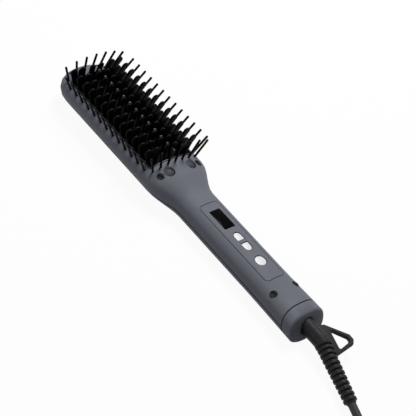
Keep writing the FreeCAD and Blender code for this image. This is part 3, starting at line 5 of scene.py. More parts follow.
import bmesh
import bpy
import numpy
from bpy.types import Operator, Panel, PropertyGroup
from mathutils import Matrix, Vector
from mathutils.bvhtree import BVHTree
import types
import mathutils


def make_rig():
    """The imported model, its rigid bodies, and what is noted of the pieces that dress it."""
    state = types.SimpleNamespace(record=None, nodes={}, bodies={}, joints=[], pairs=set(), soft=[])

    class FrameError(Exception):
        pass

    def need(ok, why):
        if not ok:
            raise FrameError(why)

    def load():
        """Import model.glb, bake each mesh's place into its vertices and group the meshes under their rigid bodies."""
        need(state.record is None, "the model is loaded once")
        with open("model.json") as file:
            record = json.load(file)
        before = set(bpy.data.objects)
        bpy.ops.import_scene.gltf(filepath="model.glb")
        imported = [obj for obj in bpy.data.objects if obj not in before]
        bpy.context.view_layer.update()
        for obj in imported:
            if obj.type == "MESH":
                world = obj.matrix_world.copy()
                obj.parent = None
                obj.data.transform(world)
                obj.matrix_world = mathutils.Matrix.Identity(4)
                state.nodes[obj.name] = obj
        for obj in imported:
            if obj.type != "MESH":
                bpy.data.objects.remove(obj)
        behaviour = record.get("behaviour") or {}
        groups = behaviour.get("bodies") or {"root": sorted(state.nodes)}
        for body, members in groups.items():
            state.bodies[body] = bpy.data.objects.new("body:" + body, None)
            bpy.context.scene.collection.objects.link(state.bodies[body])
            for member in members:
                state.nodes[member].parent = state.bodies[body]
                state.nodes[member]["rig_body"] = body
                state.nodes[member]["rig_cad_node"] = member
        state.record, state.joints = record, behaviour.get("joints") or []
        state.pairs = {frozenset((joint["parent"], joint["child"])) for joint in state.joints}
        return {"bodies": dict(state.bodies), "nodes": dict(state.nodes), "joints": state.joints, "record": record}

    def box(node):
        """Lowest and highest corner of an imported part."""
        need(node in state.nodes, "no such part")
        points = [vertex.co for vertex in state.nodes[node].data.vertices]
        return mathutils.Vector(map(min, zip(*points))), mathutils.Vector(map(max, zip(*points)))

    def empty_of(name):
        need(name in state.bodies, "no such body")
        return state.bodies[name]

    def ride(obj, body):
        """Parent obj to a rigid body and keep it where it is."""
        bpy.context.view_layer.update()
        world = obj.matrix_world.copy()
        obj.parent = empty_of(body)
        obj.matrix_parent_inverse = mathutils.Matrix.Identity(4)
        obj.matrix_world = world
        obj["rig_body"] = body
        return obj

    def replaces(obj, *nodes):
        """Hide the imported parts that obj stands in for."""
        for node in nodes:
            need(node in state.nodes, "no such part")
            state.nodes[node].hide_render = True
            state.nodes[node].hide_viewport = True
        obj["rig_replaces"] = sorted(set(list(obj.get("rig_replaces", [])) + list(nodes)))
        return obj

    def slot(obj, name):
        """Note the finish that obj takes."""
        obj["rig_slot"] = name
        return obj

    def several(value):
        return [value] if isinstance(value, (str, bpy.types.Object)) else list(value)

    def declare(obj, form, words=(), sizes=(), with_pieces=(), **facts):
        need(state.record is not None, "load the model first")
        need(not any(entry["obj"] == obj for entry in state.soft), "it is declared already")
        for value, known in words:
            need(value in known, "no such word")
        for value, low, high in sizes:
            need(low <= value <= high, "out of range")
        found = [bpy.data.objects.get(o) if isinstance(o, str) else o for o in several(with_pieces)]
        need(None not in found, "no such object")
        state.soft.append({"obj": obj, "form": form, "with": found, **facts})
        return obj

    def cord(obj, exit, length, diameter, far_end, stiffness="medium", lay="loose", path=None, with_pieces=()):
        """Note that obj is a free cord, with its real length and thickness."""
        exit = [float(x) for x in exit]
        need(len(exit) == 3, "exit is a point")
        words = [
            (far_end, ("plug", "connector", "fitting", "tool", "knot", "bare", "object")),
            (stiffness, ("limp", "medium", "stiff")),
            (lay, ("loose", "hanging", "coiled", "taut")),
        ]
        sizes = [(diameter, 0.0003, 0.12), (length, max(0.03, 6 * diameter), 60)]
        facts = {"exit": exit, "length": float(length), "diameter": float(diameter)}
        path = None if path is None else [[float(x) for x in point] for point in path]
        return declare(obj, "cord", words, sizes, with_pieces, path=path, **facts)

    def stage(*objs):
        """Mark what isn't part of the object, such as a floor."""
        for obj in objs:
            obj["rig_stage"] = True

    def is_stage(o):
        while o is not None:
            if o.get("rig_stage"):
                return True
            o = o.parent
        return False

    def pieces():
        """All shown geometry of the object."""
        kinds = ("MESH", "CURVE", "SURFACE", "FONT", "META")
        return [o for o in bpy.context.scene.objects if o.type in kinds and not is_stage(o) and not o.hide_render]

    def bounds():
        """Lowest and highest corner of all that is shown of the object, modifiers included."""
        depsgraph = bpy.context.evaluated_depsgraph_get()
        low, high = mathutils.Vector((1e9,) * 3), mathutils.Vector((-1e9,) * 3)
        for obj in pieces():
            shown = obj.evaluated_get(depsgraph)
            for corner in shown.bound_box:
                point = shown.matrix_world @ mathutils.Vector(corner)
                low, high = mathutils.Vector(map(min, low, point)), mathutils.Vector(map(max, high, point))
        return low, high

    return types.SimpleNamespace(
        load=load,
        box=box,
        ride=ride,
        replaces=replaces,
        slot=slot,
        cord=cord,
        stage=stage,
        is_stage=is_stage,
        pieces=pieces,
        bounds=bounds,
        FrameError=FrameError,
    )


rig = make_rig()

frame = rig.load()

bl_info = {
    "name": "Straightening Brush",
    "version": (1, 0, 0),
    "blender": (4, 5, 0),
    "location": "View3D > Sidebar > Brush",
    "description": "Finishes a hair straightening brush round its casings and mechanism",
    "category": "Add Mesh",
}

MM = 0.001
UP, ALONG = Vector((0, 0, 1)), Vector((0, 1, 0))
NODES = frame["nodes"]
BODY_OF = {name: node["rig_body"] for name, node in NODES.items()}
SLOT_OF = {entry["node"]: entry["material_slot"] for entry in frame["record"]["subparts"]}
COLOUR_OF = {entry["slot"]: tuple(entry["base_color"][:3]) for entry in frame["record"]["materials"]}
# Edges that turn by more than SHARP stay sharp, and faces that differ by less than FLAT are one face.
SHARP, FLAT = math.radians(32.0), math.radians(0.3)
# Corners this near to each other are one: in a copied node, after carving, and on a cutting plane.
SAME_SPOT, SLIVER, CUT_TOLERANCE = 0.002 * MM, 0.003 * MM, 0.0005 * MM
EASED = 0.25 * MM
# Carving tools stand this far above the skin, and rays look down on it from this height.
TOOL_RISE, RAY_START = 2.0 * MM, 100.0 * MM
CORNER_STEPS = 6


def size_prop(label, what, default, unit="LENGTH", **limits):
    return bpy.props.FloatProperty(name=label, description=what, default=default, unit=unit, **limits)


def colour_prop(label, *colour):
    return bpy.props.FloatVectorProperty(
        name=label, description=f"Colour of the {label.lower()}", default=colour, subtype="COLOR", size=3,
        min=0.0, max=1.0)


# ---------------- meshes and pieces
def link(data, name):
    piece = bpy.data.objects.new(name, data)
    bpy.context.scene.collection.objects.link(piece)
    return piece


def merged(name):
    """Copy a node's faces into a working mesh whose corners are shared."""
    mesh = bmesh.new()
    mesh.from_mesh(NODES[name].data)
    bmesh.ops.remove_doubles(mesh, verts=mesh.verts, dist=SAME_SPOT)
    return mesh


def rounded(mesh, width, segments=2, test=None):
    """Round the sharp edges of a closed mesh, or those whose middle passes the test."""
    bmesh.ops.dissolve_limit(mesh, angle_limit=FLAT, verts=mesh.verts, edges=mesh.edges)
    edges = [edge for edge in mesh.edges if len(edge.link_faces) == 2 and edge.calc_face_angle(0.0) > SHARP]
    if test:
        edges = [edge for edge in edges if test((edge.verts[0].co + edge.verts[1].co) / 2)]
    bmesh.ops.bevel(mesh, geom=edges, offset=width, offset_type="OFFSET", segments=segments, profile=0.5,
                    affect="EDGES", clamp_overlap=True)
    return mesh


def placed(mesh, name):
    """Turn a working mesh into an object that is smooth but for its sharp edges."""
    for face in mesh.faces:
        face.smooth = True
    for edge in mesh.edges:
        edge.smooth = len(edge.link_faces) != 2 or edge.calc_face_angle(0.0) < SHARP
    data = bpy.data.meshes.new(name)
    mesh.to_mesh(data)
    mesh.free()
    return link(data, name)


def evaluated(piece):
    """Take what a piece's modifiers make of it as a working mesh, and remove the piece."""
    bpy.context.view_layer.update()
    graph = bpy.context.evaluated_depsgraph_get()
    data = bpy.data.meshes.new_from_object(piece.evaluated_get(graph))
    piece.modifiers.clear()
    bpy.data.objects.remove(piece)
    mesh = bmesh.new()
    mesh.from_mesh(data)
    return mesh


def carved(mesh, tool):
    """Cut a closed tool out of a closed mesh."""
    block, cutter = placed(mesh, "block"), placed(tool, "cutter")
    modifier = block.modifiers.new("carve", "BOOLEAN")
    modifier.operation = "DIFFERENCE"
    modifier.solver = "EXACT"
    modifier.object = cutter
    result = evaluated(block)
    bpy.data.objects.remove(cutter)
    bmesh.ops.remove_doubles(result, verts=result.verts, dist=SLIVER)
    bmesh.ops.dissolve_degenerate(result, dist=SLIVER, edges=result.edges)
    return result


def sliced(mesh, place, way):
    """Divide the faces of a mesh along a plane."""
    bmesh.ops.bisect_plane(mesh, geom=[*mesh.verts, *mesh.edges, *mesh.faces], dist=CUT_TOLERANCE,
                           plane_co=place, plane_no=way)


def dress(piece, look):
    piece.data.materials.clear()
    piece.data.materials.append(finish(look))


def settle(piece, *nodes, look=None):
    """Let a piece stand for some nodes: it rides with them, has their finish and hides them."""
    slot = SLOT_OF[nodes[0]]
    dress(piece, look or slot)
    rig.ride(piece, BODY_OF[nodes[0]])
    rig.slot(piece, slot)
    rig.replaces(piece, *nodes)
    return piece


def stand_in(mesh, name, node, look=None):
    """Turn a working mesh into the piece that stands for a node."""
    return settle(placed(mesh, name), node, look=look)


def solids_of(name):
    """List the corners of each separate solid of a node."""
    mesh = merged(name)
    seen, solids = set(), []
    for start in mesh.verts:
        if start in seen:
            continue
        seen.add(start)
        waiting, corners = [start], []
        while waiting:
            vert = waiting.pop()
            corners.append(tuple(vert.co))
            for edge in vert.link_edges:
                other = edge.other_vert(vert)
                if other not in seen:
                    seen.add(other)
                    waiting.append(other)
        solids.append(numpy.array(corners))
    mesh.free()
    return solids


def rod_axis(corners):
    """Find the lower end of a rod's axis, its upward direction and its length."""
    middle = corners.mean(axis=0)
    way = numpy.linalg.svd(corners - middle)[2][0]
    way = way * math.copysign(1.0, way[2])
    along = (corners - middle) @ way
    return Vector(middle + way * along.min()), Vector(way), float(along.max() - along.min())


def surface_of(name):
    """A node's faces, ready for top_at."""
    mesh = merged(name)
    surface = BVHTree.FromBMesh(mesh)
    mesh.free()
    return surface


def top_at(surface, x, y):
    """Height of a surface's uppermost face over a spot."""
    return surface.ray_cast(Vector((x, y, RAY_START)), -UP)[0].z


def ways_round(count):
    """Level directions that go once round in equal steps."""
    turns = [2 * math.pi * step / count for step in range(count)]
    return [Vector((math.cos(turn), math.sin(turn), 0.0)) for turn in turns]


def round_rectangle(low, high, corner, radius):
    """Outline of a rectangle: arcs of a radius about the middles that its round corners have."""
    ways = ways_round(4 * CORNER_STEPS)
    ways.append(ways[0])
    left, bottom, right, top = low[0] + corner, low[1] + corner, high[0] - corner, high[1] - corner
    outline = []
    for quarter, (x, y) in enumerate(((right, top), (left, top), (left, bottom), (right, bottom))):
        arc = ways[quarter * CORNER_STEPS:(quarter + 1) * CORNER_STEPS + 1]
        outline += [Vector((x, y, 0.0)) + way * radius for way in arc]
    return outline


def join_rings(mesh, lower, upper):
    """Add the faces between two rings of corners that run the same way round."""
    for step in range(len(lower)):
        ahead = (step + 1) % len(lower)
        mesh.faces.new((lower[step], lower[ahead], upper[ahead], upper[step]))


def add_loft(mesh, rings):
    """Add a closed solid through rings of places that all run the same way round."""
    made = [[mesh.verts.new(place) for place in ring] for ring in rings]
    for lower, upper in zip(made, made[1:]):
        join_rings(mesh, lower, upper)
    mesh.faces.new(list(reversed(made[0])))
    mesh.faces.new(made[-1])


def closed_band(rings):
    """Make a ring-shaped solid through rings of places, from the last back to the first."""
    mesh = bmesh.new()
    made = [[mesh.verts.new(place) for place in ring] for ring in rings]
    for first, second in zip(made, made[1:] + made[:1]):
        join_rings(mesh, first, second)
    bmesh.ops.recalc_face_normals(mesh, faces=mesh.faces)
    return mesh


def share_of(value):
    """Keep a value between 0 and 1."""
    return min(max(value, 0.0), 1.0)


# ---------------- node trees
BALL_RINGS, HEAD_SIDES, SHANK_SIDES = 8, 28, 20


def add_node(tree, kind, *by_order, **by_name):
    """Add a node. Names in small letters are its settings, the others its inputs, '_' for a space."""
    node = tree.nodes.new(kind)
    for name in [name for name in by_name if name[0].islower()]:
        setattr(node, name, by_name.pop(name))
    places = [(node.inputs[index], value) for index, value in enumerate(by_order)]
    places += [(node.inputs[name.replace("_", " ")], value) for name, value in by_name.items()]
    for place, value in places:
        if isinstance(value, bpy.types.NodeSocket):
            tree.links.new(value, place)
        else:
            place.default_value = value
    return node


def output_of(tree, kind, *by_order, **by_name):
    """Add a node and give back its first output."""
    return add_node(tree, kind, *by_order, **by_name).outputs[0]


def reckon(tree, operation, *values):
    return output_of(tree, "ShaderNodeMath", *values, operation=operation)


def ranged(tree, value, *limits):
    """Turn a value between the first two limits into one between the last two."""
    return output_of(tree, "ShaderNodeMapRange", value, *limits)


def scaled(tree, colour, share):
    return output_of(tree, "ShaderNodeVectorMath", colour, operation="SCALE", Scale=share)


def floats(*labels):
    return dict.fromkeys(labels, "Float")


def new_tree(kind, name, inputs, outputs):
    """Start a node group and give back its tree, what it is given and what it puts out."""
    tree = bpy.data.node_groups.new(name, kind)
    for direction, sockets in (("INPUT", inputs), ("OUTPUT", outputs)):
        for label, socket in sockets.items():
            tree.interface.new_socket(name=label, in_out=direction, socket_type=f"NodeSocket{socket}")
    return tree, tree.nodes.new("NodeGroupInput").outputs, tree.nodes.new("NodeGroupOutput").inputs


def put_out(tree, result, **sockets):
    """Connect what a tree puts out, and give back the tree."""
    for label, socket in sockets.items():
        tree.links.new(socket, result[label])
    return tree


def geometry_tree(name, inputs):
    """Start a tree that makes pieces with a finish from the geometry that it is given."""
    return new_tree("GeometryNodeTree", name, {"Geometry": "Geometry", **inputs, "Finish": "Material"},
                    {"Geometry": "Geometry"})


def put_out_pieces(tree, geometry, given, result):
    """End a geometry tree in real meshes that have their finish."""
    real = output_of(tree, "GeometryNodeRealizeInstances", geometry)
    return put_out(tree, result, Geometry=output_of(
        tree, "GeometryNodeSetMaterial", Geometry=real, Material=given["Finish"]))


def joined(tree, *parts):
    join = tree.nodes.new("GeometryNodeJoinGeometry")
    for part in parts:
        tree.links.new(part, join.inputs[0])
    return join.outputs[0]


def copied(tree, points, part, **turn):
    """Put a copy of a part on each point."""
    return output_of(tree, "GeometryNodeInstanceOnPoints", Points=points, Instance=part, **turn)


def rod(tree, sides, radius, length):
    return output_of(tree, "GeometryNodeMeshCone", Vertices=sides, Radius_Top=radius, Radius_Bottom=radius,
                     Depth=length)


def raised(tree, part, height):
    place = output_of(tree, "ShaderNodeCombineXYZ", Z=height)
    return output_of(tree, "GeometryNodeTransform", Geometry=part, Translation=place)


def carried(tree, label, kind):
    """The value that each point carries under a label."""
    return output_of(tree, "GeometryNodeInputNamedAttribute", data_type=kind, Name=label)


def rows_tree():
    """Repeat a row of pieces at equal steps."""
    tree, given, result = geometry_tree("rows", {"Rows": "Int", "Step": "Vector"})
    line = output_of(tree, "GeometryNodeMeshLine", mode="OFFSET", Count=given["Rows"], Offset=given["Step"])
    return put_out_pieces(tree, copied(tree, line, given["Geometry"]), given, result)


def rods_tree():
    """Stand a rod with a ball at its tip on every point, along the point's way."""
    tree, given, result = geometry_tree("rods", {
        "Sides": "Int", **floats("Length", "Shaft radius", "Ball radius")})
    shaft_length = reckon(tree, "SUBTRACT", given["Length"], given["Ball radius"])
    shaft = rod(tree, given["Sides"], given["Shaft radius"], shaft_length)
    ball = output_of(tree, "GeometryNodeMeshUVSphere", Segments=given["Sides"], Rings=BALL_RINGS,
                     Radius=given["Ball radius"])
    turn = output_of(tree, "FunctionNodeAlignRotationToVector", axis="Z",
                     Vector=carried(tree, "way", "FLOAT_VECTOR"))
    tipped = joined(tree, shaft, raised(tree, ball, shaft_length))
    return put_out_pieces(tree, copied(tree, given["Geometry"], tipped, Rotation=turn), given, result)


def screws_tree():
    """Hang a cross-slotted screw from every point, its shank as long as the point's reach."""
    tree, given, result = geometry_tree("screws", floats(
        "Head radius", "Head height", "Shank radius", "Slot width", "Slot length", "Slot depth"))
    head = rod(tree, HEAD_SIDES, given["Head radius"], given["Head height"])
    head = raised(tree, head, reckon(tree, "MULTIPLY", given["Head height"], -1.0))
    depth = reckon(tree, "MULTIPLY", given["Slot depth"], 2.0)
    slots = []
    for across, along in (("Slot width", "Slot length"), ("Slot length", "Slot width")):
        size = output_of(tree, "ShaderNodeCombineXYZ", X=given[across], Y=given[along], Z=depth)
        slots.append(output_of(tree, "GeometryNodeMeshCube", Size=size))
    slotted = output_of(tree, "GeometryNodeMeshBoolean", operation="DIFFERENCE", solver="EXACT",
                        Self_Intersection=True, Mesh_1=head, Mesh_2=joined(tree, *slots))
    shank = raised(tree, rod(tree, SHANK_SIDES, given["Shank radius"], 1.0), -1.0)
    stretch = output_of(tree, "ShaderNodeCombineXYZ", X=1.0, Y=1.0, Z=carried(tree, "reach", "FLOAT"))
    both = joined(tree, copied(tree, given["Geometry"], slotted),
                  copied(tree, given["Geometry"], shank, Scale=stretch))
    return put_out_pieces(tree, both, given, result)


def grown(tree, base, **inputs):
    """Run a geometry tree on a base object with its inputs set, and give back a working mesh."""
    modifier = base.modifiers.new("grow", "NODES")
    modifier.node_group = tree
    places = {item.name: item.identifier for item in tree.interface.items_tree if item.in_out == "INPUT"}
    for label, value in inputs.items():
        modifier[places[label.replace("_", " ")]] = value
    return evaluated(base)


def marks(name, places, **attributes):
    """Points that carry named values for a geometry tree."""
    data = bpy.data.meshes.new(name)
    data.from_pydata([tuple(place) for place in places], [], [])
    for label, values in attributes.items():
        kind, field = ("FLOAT_VECTOR", "vector") if isinstance(values[0], Vector) else ("FLOAT", "value")
        data.attributes.new(label, kind, "POINT").data.foreach_set(field, numpy.ravel(values))
    return link(data, name)


# ---------------- shared surface effects
def effect(tree, maker, **inputs):
    """Place a shared shader group in a material."""
    return add_node(tree, "ShaderNodeGroup", node_tree=maker(), **inputs).outputs


def own_place(tree):
    return tree.nodes.new("ShaderNodeTexCoord").outputs["Object"]


def noise(tree, place, scale, detail):
    return output_of(tree, "ShaderNodeTexNoise", Vector=place, Scale=scale, Detail=detail)


@functools.cache
def surface_grain():
    """Fine and broad unevenness of a moulded, cast or extruded surface."""
    tree, given, result = new_tree("ShaderNodeTree", "surface_grain", floats("Fine scale", "Broad scale"),
                                   floats("Height", "Mottle"))
    place = own_place(tree)
    return put_out(tree, result, Height=noise(tree, place, given["Fine scale"], 3.0),
                   Mottle=noise(tree, place, given["Broad scale"], 5.0))


@functools.cache
def uneven_finish():
    """Vary a colour and its roughness by a mask."""
    tree, given, result = new_tree("ShaderNodeTree", "uneven_finish", {
        "Color": "Color", **floats("Mask", "Contrast", "Smoothest", "Roughest")},
        {"Color": "Color", "Roughness": "Float"})
    centred = reckon(tree, "SUBTRACT", given["Mask"], 0.5)
    swing = reckon(tree, "MULTIPLY_ADD", centred, given["Contrast"], 1.0)
    rough = ranged(tree, given["Mask"], 0.3, 0.7, given["Smoothest"], given["Roughest"])
    return put_out(tree, result, Color=scaled(tree, given["Color"], swing), Roughness=rough)


@functools.cache
def handling_marks():
    """Soft patches where hands and hair have polished a surface, and thin hairline scuffs."""
    tree, given, result = new_tree("ShaderNodeTree", "handling_marks",
                                   floats("Patch scale", "Scuff scale"), floats("Polish", "Scuff"))
    place = own_place(tree)
    stretched = output_of(tree, "ShaderNodeMapping", Vector=place, Rotation=(0.4, 0.3, 0.9),
                          Scale=(1.0, 0.06, 1.0))
    patch = noise(tree, place, given["Patch scale"], 2.0)
    scratch = noise(tree, stretched, given["Scuff scale"], 2.0)
    return put_out(tree, result, Polish=ranged(tree, patch, 0.5, 0.75, 0.0, 1.0),
                   Scuff=ranged(tree, scratch, 0.7, 0.78, 0.0, 1.0))


@functools.cache
def drawn_lines():
    """Fine lines along the part, as drawn, rolled or extruded stock shows."""
    tree, given, result = new_tree("ShaderNodeTree", "drawn_lines", floats("Scale"), floats("Line"))
    stretched = output_of(tree, "ShaderNodeMapping", Vector=own_place(tree), Scale=(1.0, 0.04, 1.0))
    return put_out(tree, result, Line=noise(tree, stretched, given["Scale"], 2.0))


# ---------------- materials
class BrushColours(PropertyGroup):
    shell: colour_prop("Casings", 0.150, 0.157, 0.188)
    display: colour_prop("Display window", 0.0015, 0.0015, 0.0015)
    keys: colour_prop("Keys", 0.80, 0.805, 0.83)
    comb: colour_prop("Comb", 0.004, 0.004, 0.005)
    pins: colour_prop("Pins", 0.004, 0.004, 0.005)
    balls: colour_prop("Ball-tipped pins", 0.02, 0.02, 0.021)
    outlet: colour_prop("Cord outlet", 0.019, 0.017, 0.019)
    cord: colour_prop("Mains lead", 0.026, 0.023, 0.025)


def chosen(name):
    """A colour as it is set in the sidebar."""
    return getattr(bpy.context.scene.brush_colours, name)


def workings(material):
    return material.node_tree, material.node_tree.nodes["Principled BSDF"]


def vary(material, colour, rough, contrast, depth, maker, mask, height, **scales):
    """Let a colour and a roughness follow a shared effect's mask, with bumps by its height."""
    tree, shader = workings(material)
    pattern = effect(tree, maker, **scales)
    uneven = effect(tree, uneven_finish, Color=(*colour, 1.0), Mask=pattern[mask], Contrast=contrast,
                    Smoothest=rough[0], Roughest=rough[1])
    tree.links.new(uneven["Color"], shader.inputs["Base Color"])
    tree.links.new(uneven["Roughness"], shader.inputs["Roughness"])
    bump = output_of(tree, "ShaderNodeBump", Strength=1.0, Distance=depth * MM, Height=pattern[height])
    tree.links.new(bump, shader.inputs["Normal"])


def wear_in(material, patch, scuff, polish_by, scuff_by):
    """Lower the roughness where a surface is polished and raise it along scuffs."""
    tree, shader = workings(material)
    wear = effect(tree, handling_marks, Patch_scale=patch, Scuff_scale=scuff)
    base = shader.inputs["Roughness"].links[0].from_socket
    smoother = reckon(tree, "MULTIPLY_ADD", wear["Polish"], -polish_by, base)
    rougher = reckon(tree, "MULTIPLY_ADD", wear["Scuff"], scuff_by, smoother)
    tree.links.new(rougher, shader.inputs["Roughness"])


def tint(material, share):
    """Multiply a material's colour by a share that changes over the surface."""
    tree, shader = workings(material)
    clean = shader.inputs["Base Color"].links[0].from_socket
    tree.links.new(scaled(tree, clean, share), shader.inputs["Base Color"])


def mould(material, colour, rough, *, fine, depth, contrast, broad=120.0, gloss=0.5, wear=None):
    """A moulded plastic with a fine grain. Its wear is the two scales and the two changes of wear_in."""
    vary(material, colour, rough, contrast, depth, surface_grain, "Mottle", "Height", Fine_scale=fine,
         Broad_scale=broad)
    workings(material)[1].inputs["Specular IOR Level"].default_value = gloss
    if wear:
        wear_in(material, *wear)


def draw_out(material, colour, rough, scale, contrast=0.25, metallic=1.0, gloss=0.5):
    """A drawn or rolled metal with fine lines in its gloss."""
    vary(material, colour, rough, contrast, LINE_DEPTH, drawn_lines, "Line", "Line", Scale=scale)
    shader = workings(material)[1]
    shader.inputs["Metallic"].default_value = metallic
    shader.inputs["Specular IOR Level"].default_value = gloss


LINE_DEPTH = 0.01
# Share by which painted shade darkens the shell's colour where a vent's floor is marked fully shaded.
PAINTED_VENT_SHADE = 0.82


def soft_touch_shell(material):
    """Matte grey plastic; the vents' floors carry painted shade that darkens them towards their deep side."""
    mould(material, chosen("shell"), (0.52, 0.66), fine=3200.0, broad=60.0, depth=0.03, contrast=0.07,
          gloss=0.14, wear=(26.0, 420.0, 0.06, 0.05))
    tree = material.node_tree
    # Painted shade: the colour is darkened on the vents' floors by the value noted on their corners.
    recess = add_node(tree, "ShaderNodeAttribute", attribute_name="recess").outputs["Fac"]
    tint(material, reckon(tree, "MULTIPLY_ADD", recess, -PAINTED_VENT_SHADE, 1.0))


def display_glass(material):
    """A dark window, glossy, with faint dust in its haze."""
    mould(material, chosen("display"), (0.08, 0.16), fine=900.0, broad=300.0, depth=0.0015, contrast=0.3,
          gloss=0.02, wear=(60.0, 700.0, 0.02, 0.12))


def key_cap(material):
    mould(material, chosen("keys"), (0.3, 0.4), fine=2400.0, broad=240.0, depth=0.008, contrast=0.05)


def comb_coat(material):
    """A ceramic coat on hot metal: satin, with a slight orange peel."""
    mould(material, chosen("comb"), (0.34, 0.48), fine=1100.0, broad=190.0, depth=0.03, contrast=0.5,
          gloss=0.045, wear=(90.0, 900.0, 0.05, 0.12))


def nylon_pin(material):
    mould(material, chosen("pins"), (0.3, 0.42), fine=2000.0, broad=160.0, depth=0.01, contrast=0.3,
          gloss=0.08, wear=(120.0, 1200.0, 0.05, 0.1))


def bezel_rim(material):
    """The bezel's harder plastic, which catches a thin line of light."""
    mould(material, chosen("comb"), (0.26, 0.4), fine=2000.0, broad=160.0, depth=0.01, contrast=0.3,
          gloss=0.25)


def polished_ball(material):
    mould(material, chosen("balls"), (0.28, 0.36), fine=2000.0, broad=200.0, depth=0.002, contrast=0.3)


def outlet_rubber(material):
    mould(material, chosen("outlet"), (0.42, 0.56), fine=2200.0, broad=110.0, depth=0.025, contrast=0.2,
          gloss=0.12, wear=(70.0, 600.0, 0.06, 0.08))


def cord_sheath(material):
    """Extruded sheath with a dull bloom in patches."""
    mould(material, chosen("cord"), (0.45, 0.6), fine=1500.0, broad=70.0, depth=0.012, contrast=0.25,
          gloss=0.25, wear=(40.0, 500.0, 0.05, 0.1))


def plated_steel(material):
    draw_out(material, COLOUR_OF["steel"], (0.25, 0.4), 1800.0)


def blackened_steel(material):
    """Black oxide over steel: it hides the metal, and its lines stay."""
    draw_out(material, [0.35 * value for value in COLOUR_OF["black_steel"]], (0.4, 0.6), 1600.0,
             contrast=0.5, metallic=0.0, gloss=0.1)


def contact_brass(material):
    draw_out(material, COLOUR_OF["brass"], (0.2, 0.36), 2000.0)


def fired_ceramic(material):
    """Off-white heater ceramic with dark specks."""
    mould(material, COLOUR_OF["heater_ceramic"], (0.55, 0.7), fine=1300.0, depth=0.03, contrast=0.1)
    tree = material.node_tree
    specks = add_node(tree, "ShaderNodeTexVoronoi", Vector=own_place(tree), Scale=900.0)
    tint(material, ranged(tree, specks.outputs["Distance"], 0.1, 0.16, 0.45, 1.0))


def amber_film(material):
    """Thin insulating film and sleeving, glossy and a little creased."""
    mould(material, COLOUR_OF["insulation"], (0.2, 0.34), fine=240.0, broad=150.0, depth=0.06, contrast=0.3)
    workings(material)[1].inputs["Coat Weight"].default_value = 0.3


def circuit_board(material):
    """Solder mask over faint copper tracks."""
    mould(material, COLOUR_OF["board_green"], (0.28, 0.42), fine=2600.0, depth=0.006, contrast=0.15)
    tree = material.node_tree
    tracks = add_node(tree, "ShaderNodeTexBrick", Vector=own_place(tree), Scale=260.0, Mortar_Size=0.035)
    tint(material, ranged(tree, tracks.outputs["Fac"], 0.0, 1.0, 1.0, 1.7))


def component_black(material):
    mould(material, COLOUR_OF["part_dark"], (0.45, 0.6), fine=1800.0, depth=0.02, contrast=0.2)


def bearing_acetal(material):
    mould(material, COLOUR_OF["acetal"], (0.35, 0.45), fine=1500.0, depth=0.008, contrast=0.06)


MATERIAL_MAKERS = {
    "grey_shell": soft_touch_shell, "display_window": display_glass, "key_white": key_cap,
    "comb_black": comb_coat, "pin_black": nylon_pin, "outlet_dark": outlet_rubber,
    "cord_dark": cord_sheath, "steel": plated_steel, "black_steel": blackened_steel,
    "brass": contact_brass, "heater_ceramic": fired_ceramic, "insulation": amber_film,
    "board_green": circuit_board, "part_dark": component_black, "acetal": bearing_acetal,
    "bezel_rim": bezel_rim, "polished_ball": polished_ball,
}


@functools.cache
def finish(look):
    """The material of a slot or of a look of its own, made the first time that a piece needs it."""
    material = bpy.data.materials.new(MATERIAL_MAKERS[look].__name__)
    material.use_nodes = True
    MATERIAL_MAKERS[look](material)
    return material


# ---------------- cord, tie and plug
FLOOR_LINE, TAIL_LINE = 3.3, 9.9
OUTER, INNER = 27.0, 20.5
LAYER = 6.5
ROUTE_OUT = [(-15.37, -215.55, 6.49), (-19.07, -227.96, 5.36), (-24.3, -241.6, 3.9),
             (-OUTER, -256.2, FLOOR_LINE)]
ROUTE_PLUG = [(-OUTER, -424.5, TAIL_LINE), (-25.4, -433.5, 9.0), (-25.4, -442.0, 9.0)]
HANK_NEAR, HANK_FAR, HANK_LEAD = -270.0, -416.0, 12.0
# Each turn of the hank: its left run, its far fold and its right run, as a half width and a layer.
TURNS = [
    ((OUTER, 0.0), (OUTER, 0.0), (OUTER, 0.0)),
    ((INNER, 0.0), (INNER, 0.0), (INNER, 1.0)),
    ((INNER, 1.0), (INNER, 1.0), (INNER, 2.0)),
    ((INNER, 2.0), (INNER, 2.0), (INNER, 2.0)),
    ((OUTER, 2.0), (OUTER, 2.0), (OUTER, 1.0)),
]
LAST_RUN = (OUTER, 1.0)
FOLD_STEPS = 6
RUN_LIFT = 0.9


def fold(start, end, low, high, toward):
    """Points of a half turn from one side's run to the other's, rising by layers."""
    middle = HANK_FAR + OUTER + LAYER / 2 if toward < 0 else HANK_NEAR - OUTER - LAYER / 2
    for index in range(FOLD_STEPS):
        share = (index + 0.5) / FOLD_STEPS
        turn = math.pi * share
        reach = (start + (end - start) * share) / math.cos(math.pi / FOLD_STEPS / 2)
        yield (toward * reach * math.cos(turn), middle + toward * reach * math.sin(turn),
               FLOOR_LINE + LAYER * (low + (high - low) * share))


def hank_points():
    """The folds and runs of the hank, from where the lead enters to where it leaves for the plug."""
    middle = (HANK_NEAR + HANK_FAR) / 2
    yield -OUTER, HANK_NEAR - HANK_LEAD, FLOOR_LINE
    for index, (left, far, right) in enumerate(TURNS):
        following = TURNS[index + 1][0] if index + 1 < len(TURNS) else LAST_RUN
        yield -left[0], middle, FLOOR_LINE + LAYER * left[1] + RUN_LIFT
        yield from fold(left[0], far[0], left[1], far[1], -1)
        yield right[0], middle, FLOOR_LINE + LAYER * (far[1] + right[1]) / 2 + RUN_LIFT
        yield from fold(right[0], following[0], right[1], following[1], 1)
    yield -OUTER, middle, FLOOR_LINE + LAYER + RUN_LIFT
    yield -OUTER, HANK_FAR + HANK_LEAD, TAIL_LINE


class BrushCordSizes(PropertyGroup):
    diameter: size_prop("Diameter", "Diameter of the mains lead", 6.5 * MM)
    length: size_prop("Length", "Whole length of the mains lead", 1.8)


